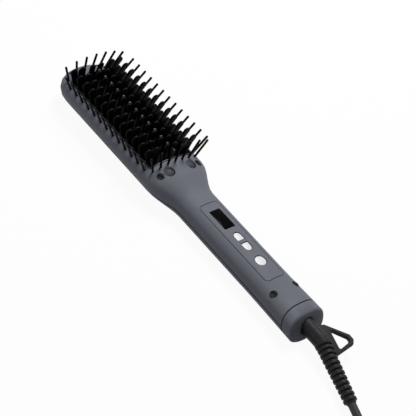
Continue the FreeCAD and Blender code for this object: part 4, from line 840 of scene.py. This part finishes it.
class BRUSH_OT_cord(Operator):
    """Lay the mains lead: out of the sleeve, into a tied hank and on to the plug"""
    bl_idname = "brush.cord"
    bl_label = "Mains lead"

    def execute(self, context):
        sizes = context.scene.brush_cord
        curve = bpy.data.curves.new("mains_lead", "CURVE")
        curve.dimensions = "3D"
        curve.bevel_depth = sizes.diameter / 2
        curve.bevel_resolution = 4
        curve.resolution_u = 10
        curve.use_fill_caps = True
        route = [tuple(value * MM for value in place)
                 for place in (*ROUTE_OUT, *hank_points(), *ROUTE_PLUG)]
        spline = curve.splines.new("NURBS")
        spline.points.add(len(route) - 1)
        for point, place in zip(spline.points, route):
            point.co = (*place, 1.0)
        spline.order_u = 3
        spline.use_endpoint_u = True
        lead = settle(link(curve, "mains_lead"), "power_cord", "cord_hank", "cord_tail")
        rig.cord(lead, exit=route[0], length=sizes.length, diameter=sizes.diameter, far_end="plug",
                stiffness="medium", lay="coiled", with_pieces=[make_tie(), make_plug(), make_blades()])
        return {"FINISHED"}


TIE_THICKNESS, TIE_CORNER, TIE_EDGE = 0.8 * MM, 5.0 * MM, 0.2 * MM


def make_tie():
    """A soft strap round the hank."""
    low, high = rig.box("hank_tie")
    outer, inner = (round_rectangle((low.x, low.z), (high.x, high.z), TIE_CORNER, TIE_CORNER - inset)
                    for inset in (0.0, TIE_THICKNESS))
    mesh = closed_band([[(spot.x, y, spot.y) for spot in ring] for ring, y in (
        (outer, low.y), (outer, high.y), (inner, high.y), (inner, low.y))])
    return stand_in(rounded(mesh, TIE_EDGE), "lead_tie", "hank_tie")


# Along the plug from its face: share of its length, its width and its height, and how square it is.
PLUG_FRONT = [(0.0, 0.93, 0.90, 5.0), (0.02, 0.985, 0.97, 5.0), (0.05, 1.0, 1.0, 5.0),
              (0.22, 1.0, 1.0, 5.0)]
PLUG_NECK = [(0.72, 0.66, 0.72, 3.5), (0.85, 0.52, 0.6, 3.0), (0.96, 0.46, 0.52, 2.6),
             (1.0, 0.42, 0.48, 2.4)]
# One grip groove from its start: the same three shares, and how much the height drops per groove.
GRIP = [(0.0, 1.0, 0.98, 0.04), (0.015, 0.94, 0.9, 0.04), (0.05, 0.93, 0.89, 0.04),
        (0.065, 0.97, 0.96, 0.05)]
GRIPS, GRIP_START, GRIP_STEP, GRIP_NARROWER, GRIP_SQUARE = 4, 0.26, 0.1, 0.07, 4.5
PLUG_SIDES = 40


def squared(part, power):
    """Push one part of a direction outwards, so that a circle turns into a rounded square."""
    return math.copysign(abs(part) ** (2 / power), part)


def make_plug():
    """A moulded plug: a rounded block with grip grooves that narrows to the lead."""
    low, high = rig.box("plug_body")
    middle, half = (low + high) / 2, (high - low) / 2
    grips = [(GRIP_START + GRIP_STEP * index + along, wide - GRIP_NARROWER * index, tall - drop * index,
              GRIP_SQUARE) for index in range(GRIPS) for along, wide, tall, drop in GRIP]
    mesh = bmesh.new()
    add_loft(mesh, [[(middle.x + half.x * wide * squared(way.x, power), low.y + 2 * half.y * along,
                      middle.z + half.z * tall * squared(way.y, power)) for way in ways_round(PLUG_SIDES)]
                    for along, wide, tall, power in (*PLUG_FRONT, *grips, *PLUG_NECK)])
    bmesh.ops.recalc_face_normals(mesh, faces=mesh.faces)
    return stand_in(mesh, "moulded_plug", "plug_body")


def make_blades():
    """The plug's two blades, their edges eased."""
    return stand_in(rounded(merged("plug_blades"), EASED), "contact_blades", "plug_blades")


# ---------------- casings
PARTING = 9.5 * MM
HANDLE_AXIS = 11.2 * MM
LEAN_START, LEAN_PIVOT, LEAN_CUTS = -121.0 * MM, 20.0 * MM, 8
# Share of a groove that its floor takes. Faces that turn to the joint by more than JOINT_FACE lie in it,
# and those that turn outwards by more than SKIN_FACE are skin.
GROOVE_FLOOR, JOINT_FACE, SKIN_FACE = 0.6, 0.9, 0.3
PANEL_CORNER, SEAM_OUTSIDE, SEAM_STEP, SEAM_PROBE = 3.0 * MM, 0.06 * MM, 1.5 * MM, 0.5 * MM
VENTS = [(-11.3 * MM, 13.8 * MM), (11.3 * MM, 13.8 * MM)]
# Where the whole skin round a vent is measured and how far its floor reaches, as shares of its radius.
VENT_RIM, VENT_EDGE = 1.1, 1.01
VENT_SHALLOW, VENT_SIDES = 0.1 * MM, 40
# Painted shade on a vent's floor: its amount at the middle, and how much it grows per radius towards the deep side.
VENT_PAINTED_SHADE, VENT_PAINTED_SHADE_SLOPE = 0.75, 0.65


class BrushShellSizes(PropertyGroup):
    joint_width: size_prop("Joint width", "Half width of the groove at each joint of the casings", 0.6 * MM)
    joint_depth: size_prop("Joint depth", "Depth of the groove at each joint of the casings", 1.6 * MM)
    end_slope: size_prop("End slope", "How far the handle's end slants per unit of height", 0.4, "NONE")
    end_shorter: size_prop("End shortening", "How much shorter the end cap is along its top", 2.2 * MM)
    vent_radius: size_prop("Vent radius", "Radius of each ion vent at the foot of the head", 4.7 * MM)
    vent_depth: size_prop("Vent depth", "Depth of an ion vent at its deep side", 1.9 * MM)
    seam_width: size_prop("Seam width", "Width of the seam round the control panel", 0.6 * MM)
    seam_depth: size_prop("Seam depth", "Depth of the seam round the control panel", 0.6 * MM)
    key_gap: size_prop("Key gap", "Width of the recess round each key", 0.6 * MM)
    key_sink: size_prop("Key sink", "How far the keys' tops lie below their highest place", 1.1 * MM)
    key_recess: size_prop("Key recess", "Depth of the recess round each key, from the key's highest place",
                          2.1 * MM)


def groove_joint(mesh, place, way, sizes):
    """Ease the outer edge of a flat joint, so that two eased pieces leave a small groove."""
    for share in (-1.0, -GROOVE_FLOOR, GROOVE_FLOOR, 1.0):
        sliced(mesh, place + way * share * sizes.joint_width, way)
    mesh.normal_update()
    moves = []
    for vert in mesh.verts:
        if abs((vert.co - place).dot(way)) > (GROOVE_FLOOR + 0.01) * sizes.joint_width:
            continue
        outward = Vector((vert.co.x, 0.0, vert.co.z - HANDLE_AXIS))
        skin = [face.normal for face in vert.link_faces
                if abs(face.normal.dot(way)) < JOINT_FACE
                and face.normal.dot(outward) > SKIN_FACE * outward.length]
        if skin:
            push = sum(skin, Vector())
            push -= way * push.dot(way)
            moves.append((vert, push.normalized() * -sizes.joint_depth))
    for vert, move in moves:
        vert.co += move


def lean_end(mesh, joint, sizes):
    """Slant the handle's end and its joint, so that the back reaches further than the front."""
    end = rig.box("end_cap")[0].y
    for step in range(1, LEAN_CUTS + 1):
        sliced(mesh, ALONG * (LEAN_START + (joint - LEAN_START) * step / (LEAN_CUTS + 1)), ALONG)
    for vert in mesh.verts:
        share = share_of((LEAN_START - vert.co.y) / (LEAN_START - joint))
        share = share * share * (3 - 2 * share)
        shorter = share_of((joint - vert.co.y) / (joint - end)) * sizes.end_shorter
        vert.co.y += share * sizes.end_slope * (vert.co.z - LEAN_PIVOT) + shorter


def panel_seam(sizes):
    """A closed ribbon that runs round the control panel and dips below its surface."""
    low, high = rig.box("control_panel")
    surface = surface_of("control_panel")
    path = round_rectangle(low, high, PANEL_CORNER, PANEL_CORNER + SEAM_OUTSIDE)
    spots = []
    for first, second in zip(path, path[1:] + path[:1]):
        count = max(1, round((second - first).length / SEAM_STEP))
        spots += [first + (second - first) * step / count for step in range(count)]
    centre = (low + high) / 2
    rings = [[], [], [], []]
    for index, place in enumerate(spots):
        along = (spots[(index + 1) % len(spots)] - spots[index - 1]).normalized()
        outward = Vector((along.y, -along.x, 0.0)) * sizes.seam_width / 2
        inside = place + (Vector((centre.x, place.y, 0)) - place).normalized() * SEAM_PROBE
        inside.y += math.copysign(min(SEAM_PROBE, abs(centre.y - inside.y)), centre.y - inside.y)
        top = top_at(surface, inside.x, inside.y)
        for ring, side, lift in zip(rings, (-1, 1, 1, -1), (TOOL_RISE, TOOL_RISE, -sizes.seam_depth,
                                                            -sizes.seam_depth)):
            ring.append((place.x + outward.x * side, place.y + outward.y * side, top + lift))
    return closed_band(rings)


def skin_over(surface, x, y, across, radius):
    """Height that the skin would have over a spot in a vent, taken from the rim on both sides."""
    way = across.normalized() if across.length > 0 else Vector((1, 0, 0))
    rim = way * VENT_RIM * radius
    near, far = (top_at(surface, x + rim.x * side, y + rim.y * side) for side in (-1, 1))
    return near + (far - near) * (across.length / (VENT_RIM * radius) + 1) / 2


def add_vent_scoops(mesh, sizes):
    """Add the tools that scoop the two ion vents: their floors slope down towards the handle."""
    surface = surface_of("front_casing")
    radius = sizes.vent_radius
    for x, y in VENTS:
        floor, top = [], []
        for across in [way * radius for way in ways_round(VENT_SIDES)]:
            skin = skin_over(surface, x, y, across, radius)
            depth = VENT_SHALLOW + (radius - across.y) / (2 * radius) * sizes.vent_depth
            floor.append((x + across.x, y + across.y, skin - depth))
            top.append((x + across.x, y + across.y, skin + TOOL_RISE))
        add_loft(mesh, [floor, top])


def note_recess(mesh, sizes):
    """Note on each corner of a vent's floor how much painted shade the shell's colour takes there, more near the deep
    side.
    """
    surface = surface_of("front_casing")
    radius = sizes.vent_radius
    # The recess value holds painted shade for the shell's colour: darker towards the vent's deep side.
    recess = mesh.verts.layers.float.new("recess")
    for vert in mesh.verts:
        for x, y in VENTS:
            across = Vector((vert.co.x - x, vert.co.y - y, 0.0))
            if across.length < radius * VENT_EDGE:
                depth = skin_over(surface, x, y, across, radius) - vert.co.z
                if VENT_SHALLOW / 2 < depth < sizes.vent_depth + VENT_SHALLOW * 1.5:
                    vert[recess] = min(VENT_PAINTED_SHADE - VENT_PAINTED_SHADE_SLOPE * across.y / radius, 1.0)


class BRUSH_OT_casings(Operator):
    """Finish the front casing, the back casing and the end cap, with a fine groove at each joint"""
    bl_idname = "brush.casings"
    bl_label = "Casings"

    def execute(self, context):
        sizes = context.scene.brush_shell
        end_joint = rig.box("front_casing")[0].y
        for name in ("front_casing", "back_casing", "end_cap"):
            mesh = merged(name)
            if name == "front_casing":
                tool = panel_seam(sizes)
                add_vent_scoops(tool, sizes)
                mesh = carved(mesh, tool)
                note_recess(mesh, sizes)
            if name != "end_cap":
                groove_joint(mesh, UP * PARTING, UP, sizes)
            groove_joint(mesh, ALONG * end_joint, ALONG, sizes)
            lean_end(mesh, end_joint, sizes)
            stand_in(mesh, f"finished_{name}", name)
        return {"FINISHED"}


# ---------------- control panel, display and keys
KEYS = ("key_up", "key_down", "key_power")
KEY_TOP, KEY_EDGE, KEY_SIDES = 0.5 * MM, 0.2 * MM, 48


def add_key_recesses(mesh, sizes):
    """Add the tools that sink a narrow dark recess into the panel round each key."""
    for name in KEYS:
        key = merged(name)
        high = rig.box(name)[1].z
        spots = [vert.co.copy() for vert in key.verts if vert.co.z > high - KEY_TOP]
        key.free()
        outline = [max(spots, key=way.dot) + way * sizes.key_gap for way in ways_round(KEY_SIDES)]
        add_loft(mesh, [[(spot.x, spot.y, z) for spot in outline]
                        for z in (high - sizes.key_recess, high + TOOL_RISE)])


class BRUSH_OT_controls(Operator):
    """Finish the control panel, the display window and the three keys"""
    bl_idname = "brush.controls"
    bl_label = "Control panel and keys"

    def execute(self, context):
        sizes = context.scene.brush_shell
        tool = panel_seam(sizes)
        add_key_recesses(tool, sizes)
        stand_in(carved(merged("control_panel"), tool), "finished_panel", "control_panel")
        stand_in(rounded(merged("lcd_window"), EASED), "window_pane", "lcd_window")
        for name in KEYS:
            cap = merged(name)
            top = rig.box(name)[1].z - KEY_TOP
            for vert in cap.verts:
                vert.co.z -= sizes.key_sink if vert.co.z > top else 0.0
            stand_in(rounded(cap, KEY_EDGE, segments=3), f"cap_{name}", name)
        return {"FINISHED"}


# ---------------- heated bed
STRIP_HALF, STRIP_THICKNESS, STRIP_MARGIN = 1.7 * MM, 1.2 * MM, 0.9 * MM
FIN_FOOT, BALL_PIN_SEAT = 0.1 * MM, 0.2 * MM


class BrushPinSizes(PropertyGroup):
    pin_radius: size_prop("Pin radius", "Radius of a frame pin", 0.97 * MM)
    tip_radius: size_prop("Tip radius", "Radius of a frame pin's round tip", 1.04 * MM)
    sides: bpy.props.IntProperty(
        name="Sides", description="Faces round each pin", default=16, min=8, max=48)
    shaft_radius: size_prop("Shaft radius", "Radius of a ball-tipped pin's shaft", 0.65 * MM)
    ball_radius: size_prop("Ball radius", "Radius of the ball on each centre pin", 1.3 * MM)
    fin_edge: size_prop("Fin edge", "Rounding of a fin's rims", 0.4 * MM)


def rows_of(name):
    """Where along the brush the solids of a node stand, to a tenth of a millimetre."""
    return sorted({round(float(corners[:, 1].mean()) / MM, 1) for corners in solids_of(name)})


class BRUSH_OT_comb(Operator):
    """Round the fins of one row and repeat it, and finish the comb plate and the bezel"""
    bl_idname = "brush.comb"
    bl_label = "Comb bed"

    def execute(self, context):
        sizes = context.scene.brush_pins
        low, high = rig.box("comb_fins")
        rows = rows_of("comb_fins")
        pitch = (rows[-1] - rows[0]) / (len(rows) - 1) * MM
        first = merged("comb_fins")
        others = [vert for vert in first.verts if vert.co.y <= high.y - pitch / 2]
        bmesh.ops.delete(first, geom=others, context="VERTS")
        rounded(first, sizes.fin_edge, segments=3, test=lambda place: place.z > low.z + FIN_FOOT)
        fins = grown(rows_tree(), placed(first, "fin_row"), Rows=len(rows), Step=(0.0, -pitch, 0.0),
                     Finish=finish("comb_black"))
        stand_in(fins, "fin_rows", "comb_fins")
        stand_in(merged("comb_plate"), "finished_plate", "comb_plate")
        stand_in(rounded(merged("bed_bezel"), EASED), "finished_bezel", "bed_bezel", look="bezel_rim")
        return {"FINISHED"}


class BRUSH_OT_pins(Operator):
    """Stand the round-tipped pins of the frame and the ball-tipped centre pins"""
    bl_idname = "brush.pins"
    bl_label = "Pins"

    def execute(self, context):
        sizes = context.scene.brush_pins
        tree = rods_tree()
        shared = {"Sides": sizes.sides, "Finish": finish("pin_black")}
        for name in ("side_pins", "end_pins"):
            rods = [rod_axis(corners) for corners in solids_of(name)]
            base = marks(name, [foot for foot, _, _ in rods], way=[way for _, way, _ in rods])
            pins = grown(tree, base, Length=rods[0][2], Shaft_radius=sizes.pin_radius,
                         Ball_radius=sizes.tip_radius, **shared)
            stand_in(pins, f"round_{name}", name)
        low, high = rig.box("centre_pins")
        count = len(rows_of("side_pins"))
        strip_top, start = low.z + STRIP_THICKNESS, low.y + STRIP_MARGIN
        step = (high.y - low.y - 2 * STRIP_MARGIN) / (count - 1)
        places = [(0.0, start + step * row, strip_top - BALL_PIN_SEAT) for row in range(count)]
        pins = grown(tree, marks("centre", places, way=[UP] * count), **shared,
                     Length=high.z - strip_top + BALL_PIN_SEAT, Shaft_radius=sizes.shaft_radius,
                     Ball_radius=sizes.ball_radius)
        left, right = -STRIP_HALF, STRIP_HALF
        section = ((left, low.z), (right, low.z), (right, strip_top), (left, strip_top))
        add_loft(pins, [[(x, y, z) for x, z in section] for y in (high.y, low.y)])
        stand_in(pins, "ball_pins", "centre_pins", look="polished_ball")
        return {"FINISHED"}


# ---------------- screws
class BrushScrewSizes(PropertyGroup):
    head_radius: size_prop("Head radius", "Radius of a casing screw's head", 2.9 * MM)
    head_height: size_prop("Head height", "Height of a casing screw's head", 2.0 * MM)
    shank_radius: size_prop("Shank radius", "Radius of a casing screw's shank", 1.5 * MM)
    slot_width: size_prop("Slot width", "Width of the cross in the head", 0.8 * MM)
    slot_length: size_prop("Slot length", "Length of the cross in the head", 3.6 * MM)
    slot_depth: size_prop("Slot depth", "Depth of the cross in the head", 1.1 * MM)


SCREW_EDGE = 0.15 * MM


class BRUSH_OT_screws(Operator):
    """Set the cross-slotted screws that hold the casings together"""
    bl_idname = "brush.screws"
    bl_label = "Casing screws"

    def execute(self, context):
        sizes = context.scene.brush_screws
        screws = solids_of("casing_screws")
        tops = [Vector((*((screw.min(axis=0) + screw.max(axis=0)) / 2)[:2], screw[:, 2].max()))
                for screw in screws]
        base = marks("screw_tops", tops, reach=[float(numpy.ptp(screw[:, 2])) for screw in screws])
        inputs = {name.capitalize(): getattr(sizes, name) for name in sizes.__annotations__}
        mesh = grown(screws_tree(), base, **inputs, Finish=finish("black_steel"))
        bmesh.ops.remove_doubles(mesh, verts=mesh.verts, dist=SAME_SPOT / 2)
        rounded(mesh, SCREW_EDGE, test=lambda place: place.z > tops[0].z / 2)
        stand_in(mesh, "cross_screws", "casing_screws")
        return {"FINISHED"}


# ---------------- cord outlet
ROOT_START, ROOT_END, ROOT_RADIUS = -149.0 * MM, -160.0 * MM, 6.42 * MM
RIBS_START, LOOP_START, LOOP_EDGE = -160.0 * MM, 8.0 * MM, 0.5 * MM


class BrushOutletSizes(PropertyGroup):
    root_shift: size_prop(
        "Loop root", "How far the root of the hanging loop keeps from the handle's end", 2.0 * MM)
    root_slope: size_prop(
        "Root slope", "How far the loop's root falls back per unit of its reach", 0.32, "NONE")


class BRUSH_OT_outlet(Operator):
    """Finish the swivelling outlet: neck, ribbed sleeve and hanging loop"""
    bl_idname = "brush.outlet"
    bl_label = "Cord outlet"

    def execute(self, context):
        sizes = context.scene.brush_outlet
        sleeve = rounded(merged("strain_relief"), EASED, test=lambda place: place.y < RIBS_START)
        stand_in(sleeve, "ribbed_sleeve", "strain_relief")
        loop = merged("hanging_loop")
        for vert in loop.verts:
            reach = math.hypot(vert.co.x, vert.co.z - HANDLE_AXIS) - ROOT_RADIUS
            share = share_of((vert.co.y - ROOT_END) / (ROOT_START - ROOT_END))
            vert.co.y -= share * (sizes.root_shift + sizes.root_slope * reach) if reach > 0 else 0.0
        rounded(loop, LOOP_EDGE, segments=3, test=lambda place: place.x > LOOP_START)
        stand_in(loop, "rounded_loop", "hanging_loop")
        return {"FINISHED"}


# ---------------- everything inside
class BRUSH_OT_inside(Operator):
    """Give the boards, heater, leads, swivel and other inner pieces their finishes"""
    bl_idname = "brush.inside"
    bl_label = "Inner pieces"

    def execute(self, context):
        for name, node in NODES.items():
            if not node.hide_render:
                dress(node, SLOT_OF[name])
        return {"FINISHED"}


# ---------------- stage
WHITE = (1.0, 1.0, 1.0, 1.0)
FLOOR_HALF = 6.0
# The floor's colour and the share of its glow: for the light that it gives, and as it is seen.
FLOOR_COLOUR, FLOOR_GLOW = (0.4, 0.9), (0.0, 0.94)
LAMP_SIZE = 0.5
KEY_PLACE, FILL_PLACE, LAMP_AIM = (0.44, 0.4, 1.08), (-0.9, 0.2, 0.25), (0.0, -0.02, 0.02)
CAMERA_AZIMUTH, CAMERA_ELEVATION, CAMERA_ROLL = (math.radians(angle) for angle in (-57.6, 41.3, 24.6))
CAMERA_AIM = Vector((0.0, 0.0755, 0.0215))
CAMERA_RIGHTWARD, CAMERA_DOWNWARD, CAMERA_DISTANCE = 0.0616, 0.0696, 1.1
CAMERA_SENSOR, CAMERA_LENS, CAMERA_REACH = 36.0, 118.45, 20.0


class BrushStage(PropertyGroup):
    key_power: size_prop("Key lamp", "Power of the lamp over the right side", 13.0, "POWER")
    fill_power: size_prop("Fill lamp", "Power of the weak lamp over the left side", 1.3, "POWER")
    room_light: size_prop("Room light", "Strength of the even light from all round", 0.15, "NONE", min=0.0)


def seen_white(tree, lit, seen_as=1.0):
    """One value where the camera or a mirror-like ray meets a surface, another for the light it gives."""
    path = tree.nodes.new("ShaderNodeLightPath").outputs
    seen = reckon(tree, "MAXIMUM", path["Is Camera Ray"], path["Is Glossy Ray"])
    seen = reckon(tree, "MAXIMUM", seen, path["Is Transmission Ray"])
    return reckon(tree, "MULTIPLY_ADD", seen, seen_as - lit, lit)


def white_room(strength):
    """An even world that looks white and lights softly."""
    world = bpy.data.worlds.new("white_room")
    world.use_nodes = True
    tree = world.node_tree
    background = tree.nodes["Background"]
    background.inputs["Color"].default_value = WHITE
    tree.links.new(seen_white(tree, strength), background.inputs["Strength"])
    return world


def pale_floor():
    """A white table top that still takes a soft shadow."""
    material = bpy.data.materials.new("pale_floor")
    material.use_nodes = True
    tree = material.node_tree
    tree.nodes.clear()
    matte = output_of(tree, "ShaderNodeBsdfDiffuse", Color=seen_white(tree, *FLOOR_COLOUR))
    glow = output_of(tree, "ShaderNodeEmission", Color=WHITE, Strength=1.0)
    both = output_of(tree, "ShaderNodeMixShader", seen_white(tree, *FLOOR_GLOW), matte, glow)
    add_node(tree, "ShaderNodeOutputMaterial", Surface=both)
    return material


def soft_lamp(name, place, power):
    lamp = bpy.data.lights.new(name, "AREA")
    lamp.shape = "DISK"
    lamp.size = LAMP_SIZE
    lamp.energy = power
    holder = link(lamp, name)
    holder.location = place
    holder.rotation_euler = (Vector(LAMP_AIM) - Vector(place)).to_track_quat("-Z", "Y").to_euler()


def make_camera(scene):
    """Aim the camera by its angles, then slide it sideways and down to set the framing."""
    camera = link(bpy.data.cameras.new("camera"), "camera")
    across = Vector((math.cos(CAMERA_AZIMUTH), math.sin(CAMERA_AZIMUTH), 0.0))
    level = Vector((across.y, -across.x, 0.0))
    back = level * math.cos(CAMERA_ELEVATION) + UP * math.sin(CAMERA_ELEVATION)
    upward = back.cross(across)
    right = across * math.cos(CAMERA_ROLL) + upward * math.sin(CAMERA_ROLL)
    up = upward * math.cos(CAMERA_ROLL) - across * math.sin(CAMERA_ROLL)
    place = CAMERA_AIM + right * CAMERA_RIGHTWARD - up * CAMERA_DOWNWARD + back * CAMERA_DISTANCE
    camera.matrix_world = Matrix.Translation(place) @ Matrix((right, up, back)).transposed().to_4x4()
    camera.data.sensor_width = CAMERA_SENSOR
    camera.data.lens = CAMERA_LENS
    camera.data.clip_end = CAMERA_REACH
    scene.camera = camera


class BRUSH_OT_stage(Operator):
    """Set the floor, the lamps, the white surroundings and the camera"""
    bl_idname = "brush.stage"
    bl_label = "Stage"

    def execute(self, context):
        scene = context.scene
        sizes = scene.brush_stage
        make_camera(scene)
        floor = bmesh.new()
        bmesh.ops.create_grid(floor, x_segments=1, y_segments=1, size=FLOOR_HALF)
        table = placed(floor, "table_top")
        table.data.materials.append(pale_floor())
        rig.stage(table)
        scene.world = white_room(sizes.room_light)
        soft_lamp("key_lamp", KEY_PLACE, sizes.key_power)
        soft_lamp("fill_lamp", FILL_PLACE, sizes.fill_power)
        return {"FINISHED"}


# ---------------- sidebar and registration
class BRUSH_PT_panel(Panel):
    """The brush's pieces and their sizes"""
    bl_idname = "BRUSH_PT_panel"
    bl_label = "Straightening Brush"
    bl_space_type = "VIEW_3D"
    bl_region_type = "UI"
    bl_category = "Brush"

    def draw(self, context):
        for operator in OPERATORS:
            self.layout.operator(operator.bl_idname)
        for sizes, place in GROUPS:
            box = self.layout.box()
            for name in sizes.__annotations__:
                box.prop(getattr(context.scene, place), name)


GROUPS = [(BrushColours, "brush_colours"), (BrushCordSizes, "brush_cord"),
          (BrushShellSizes, "brush_shell"), (BrushPinSizes, "brush_pins"),
          (BrushScrewSizes, "brush_screws"), (BrushOutletSizes, "brush_outlet"), (BrushStage, "brush_stage")]
OPERATORS = [BRUSH_OT_cord, BRUSH_OT_casings, BRUSH_OT_controls, BRUSH_OT_comb, BRUSH_OT_pins,
             BRUSH_OT_screws, BRUSH_OT_outlet, BRUSH_OT_inside, BRUSH_OT_stage]


def register():
    for sizes, place in GROUPS:
        bpy.utils.register_class(sizes)
        setattr(bpy.types.Scene, place, bpy.props.PointerProperty(type=sizes))
    for cls in (*OPERATORS, BRUSH_PT_panel):
        bpy.utils.register_class(cls)


def unregister():
    for cls in (BRUSH_PT_panel, *reversed(OPERATORS)):
        bpy.utils.unregister_class(cls)
    for sizes, place in reversed(GROUPS):
        delattr(bpy.types.Scene, place)
        bpy.utils.unregister_class(sizes)


def main():
    frame_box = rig.bounds()
    register()
    for operator in OPERATORS:
        section, name = operator.bl_idname.split(".")
        getattr(getattr(bpy.ops, section), name)()
    bpy.context.scene.view_settings.view_transform = "Standard"
    with open("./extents.json", "w") as file:
        json.dump({"frame": [list(corner) for corner in frame_box],
                   "model": [list(corner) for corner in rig.bounds()]}, file)


if __name__ == "__main__":
    main()
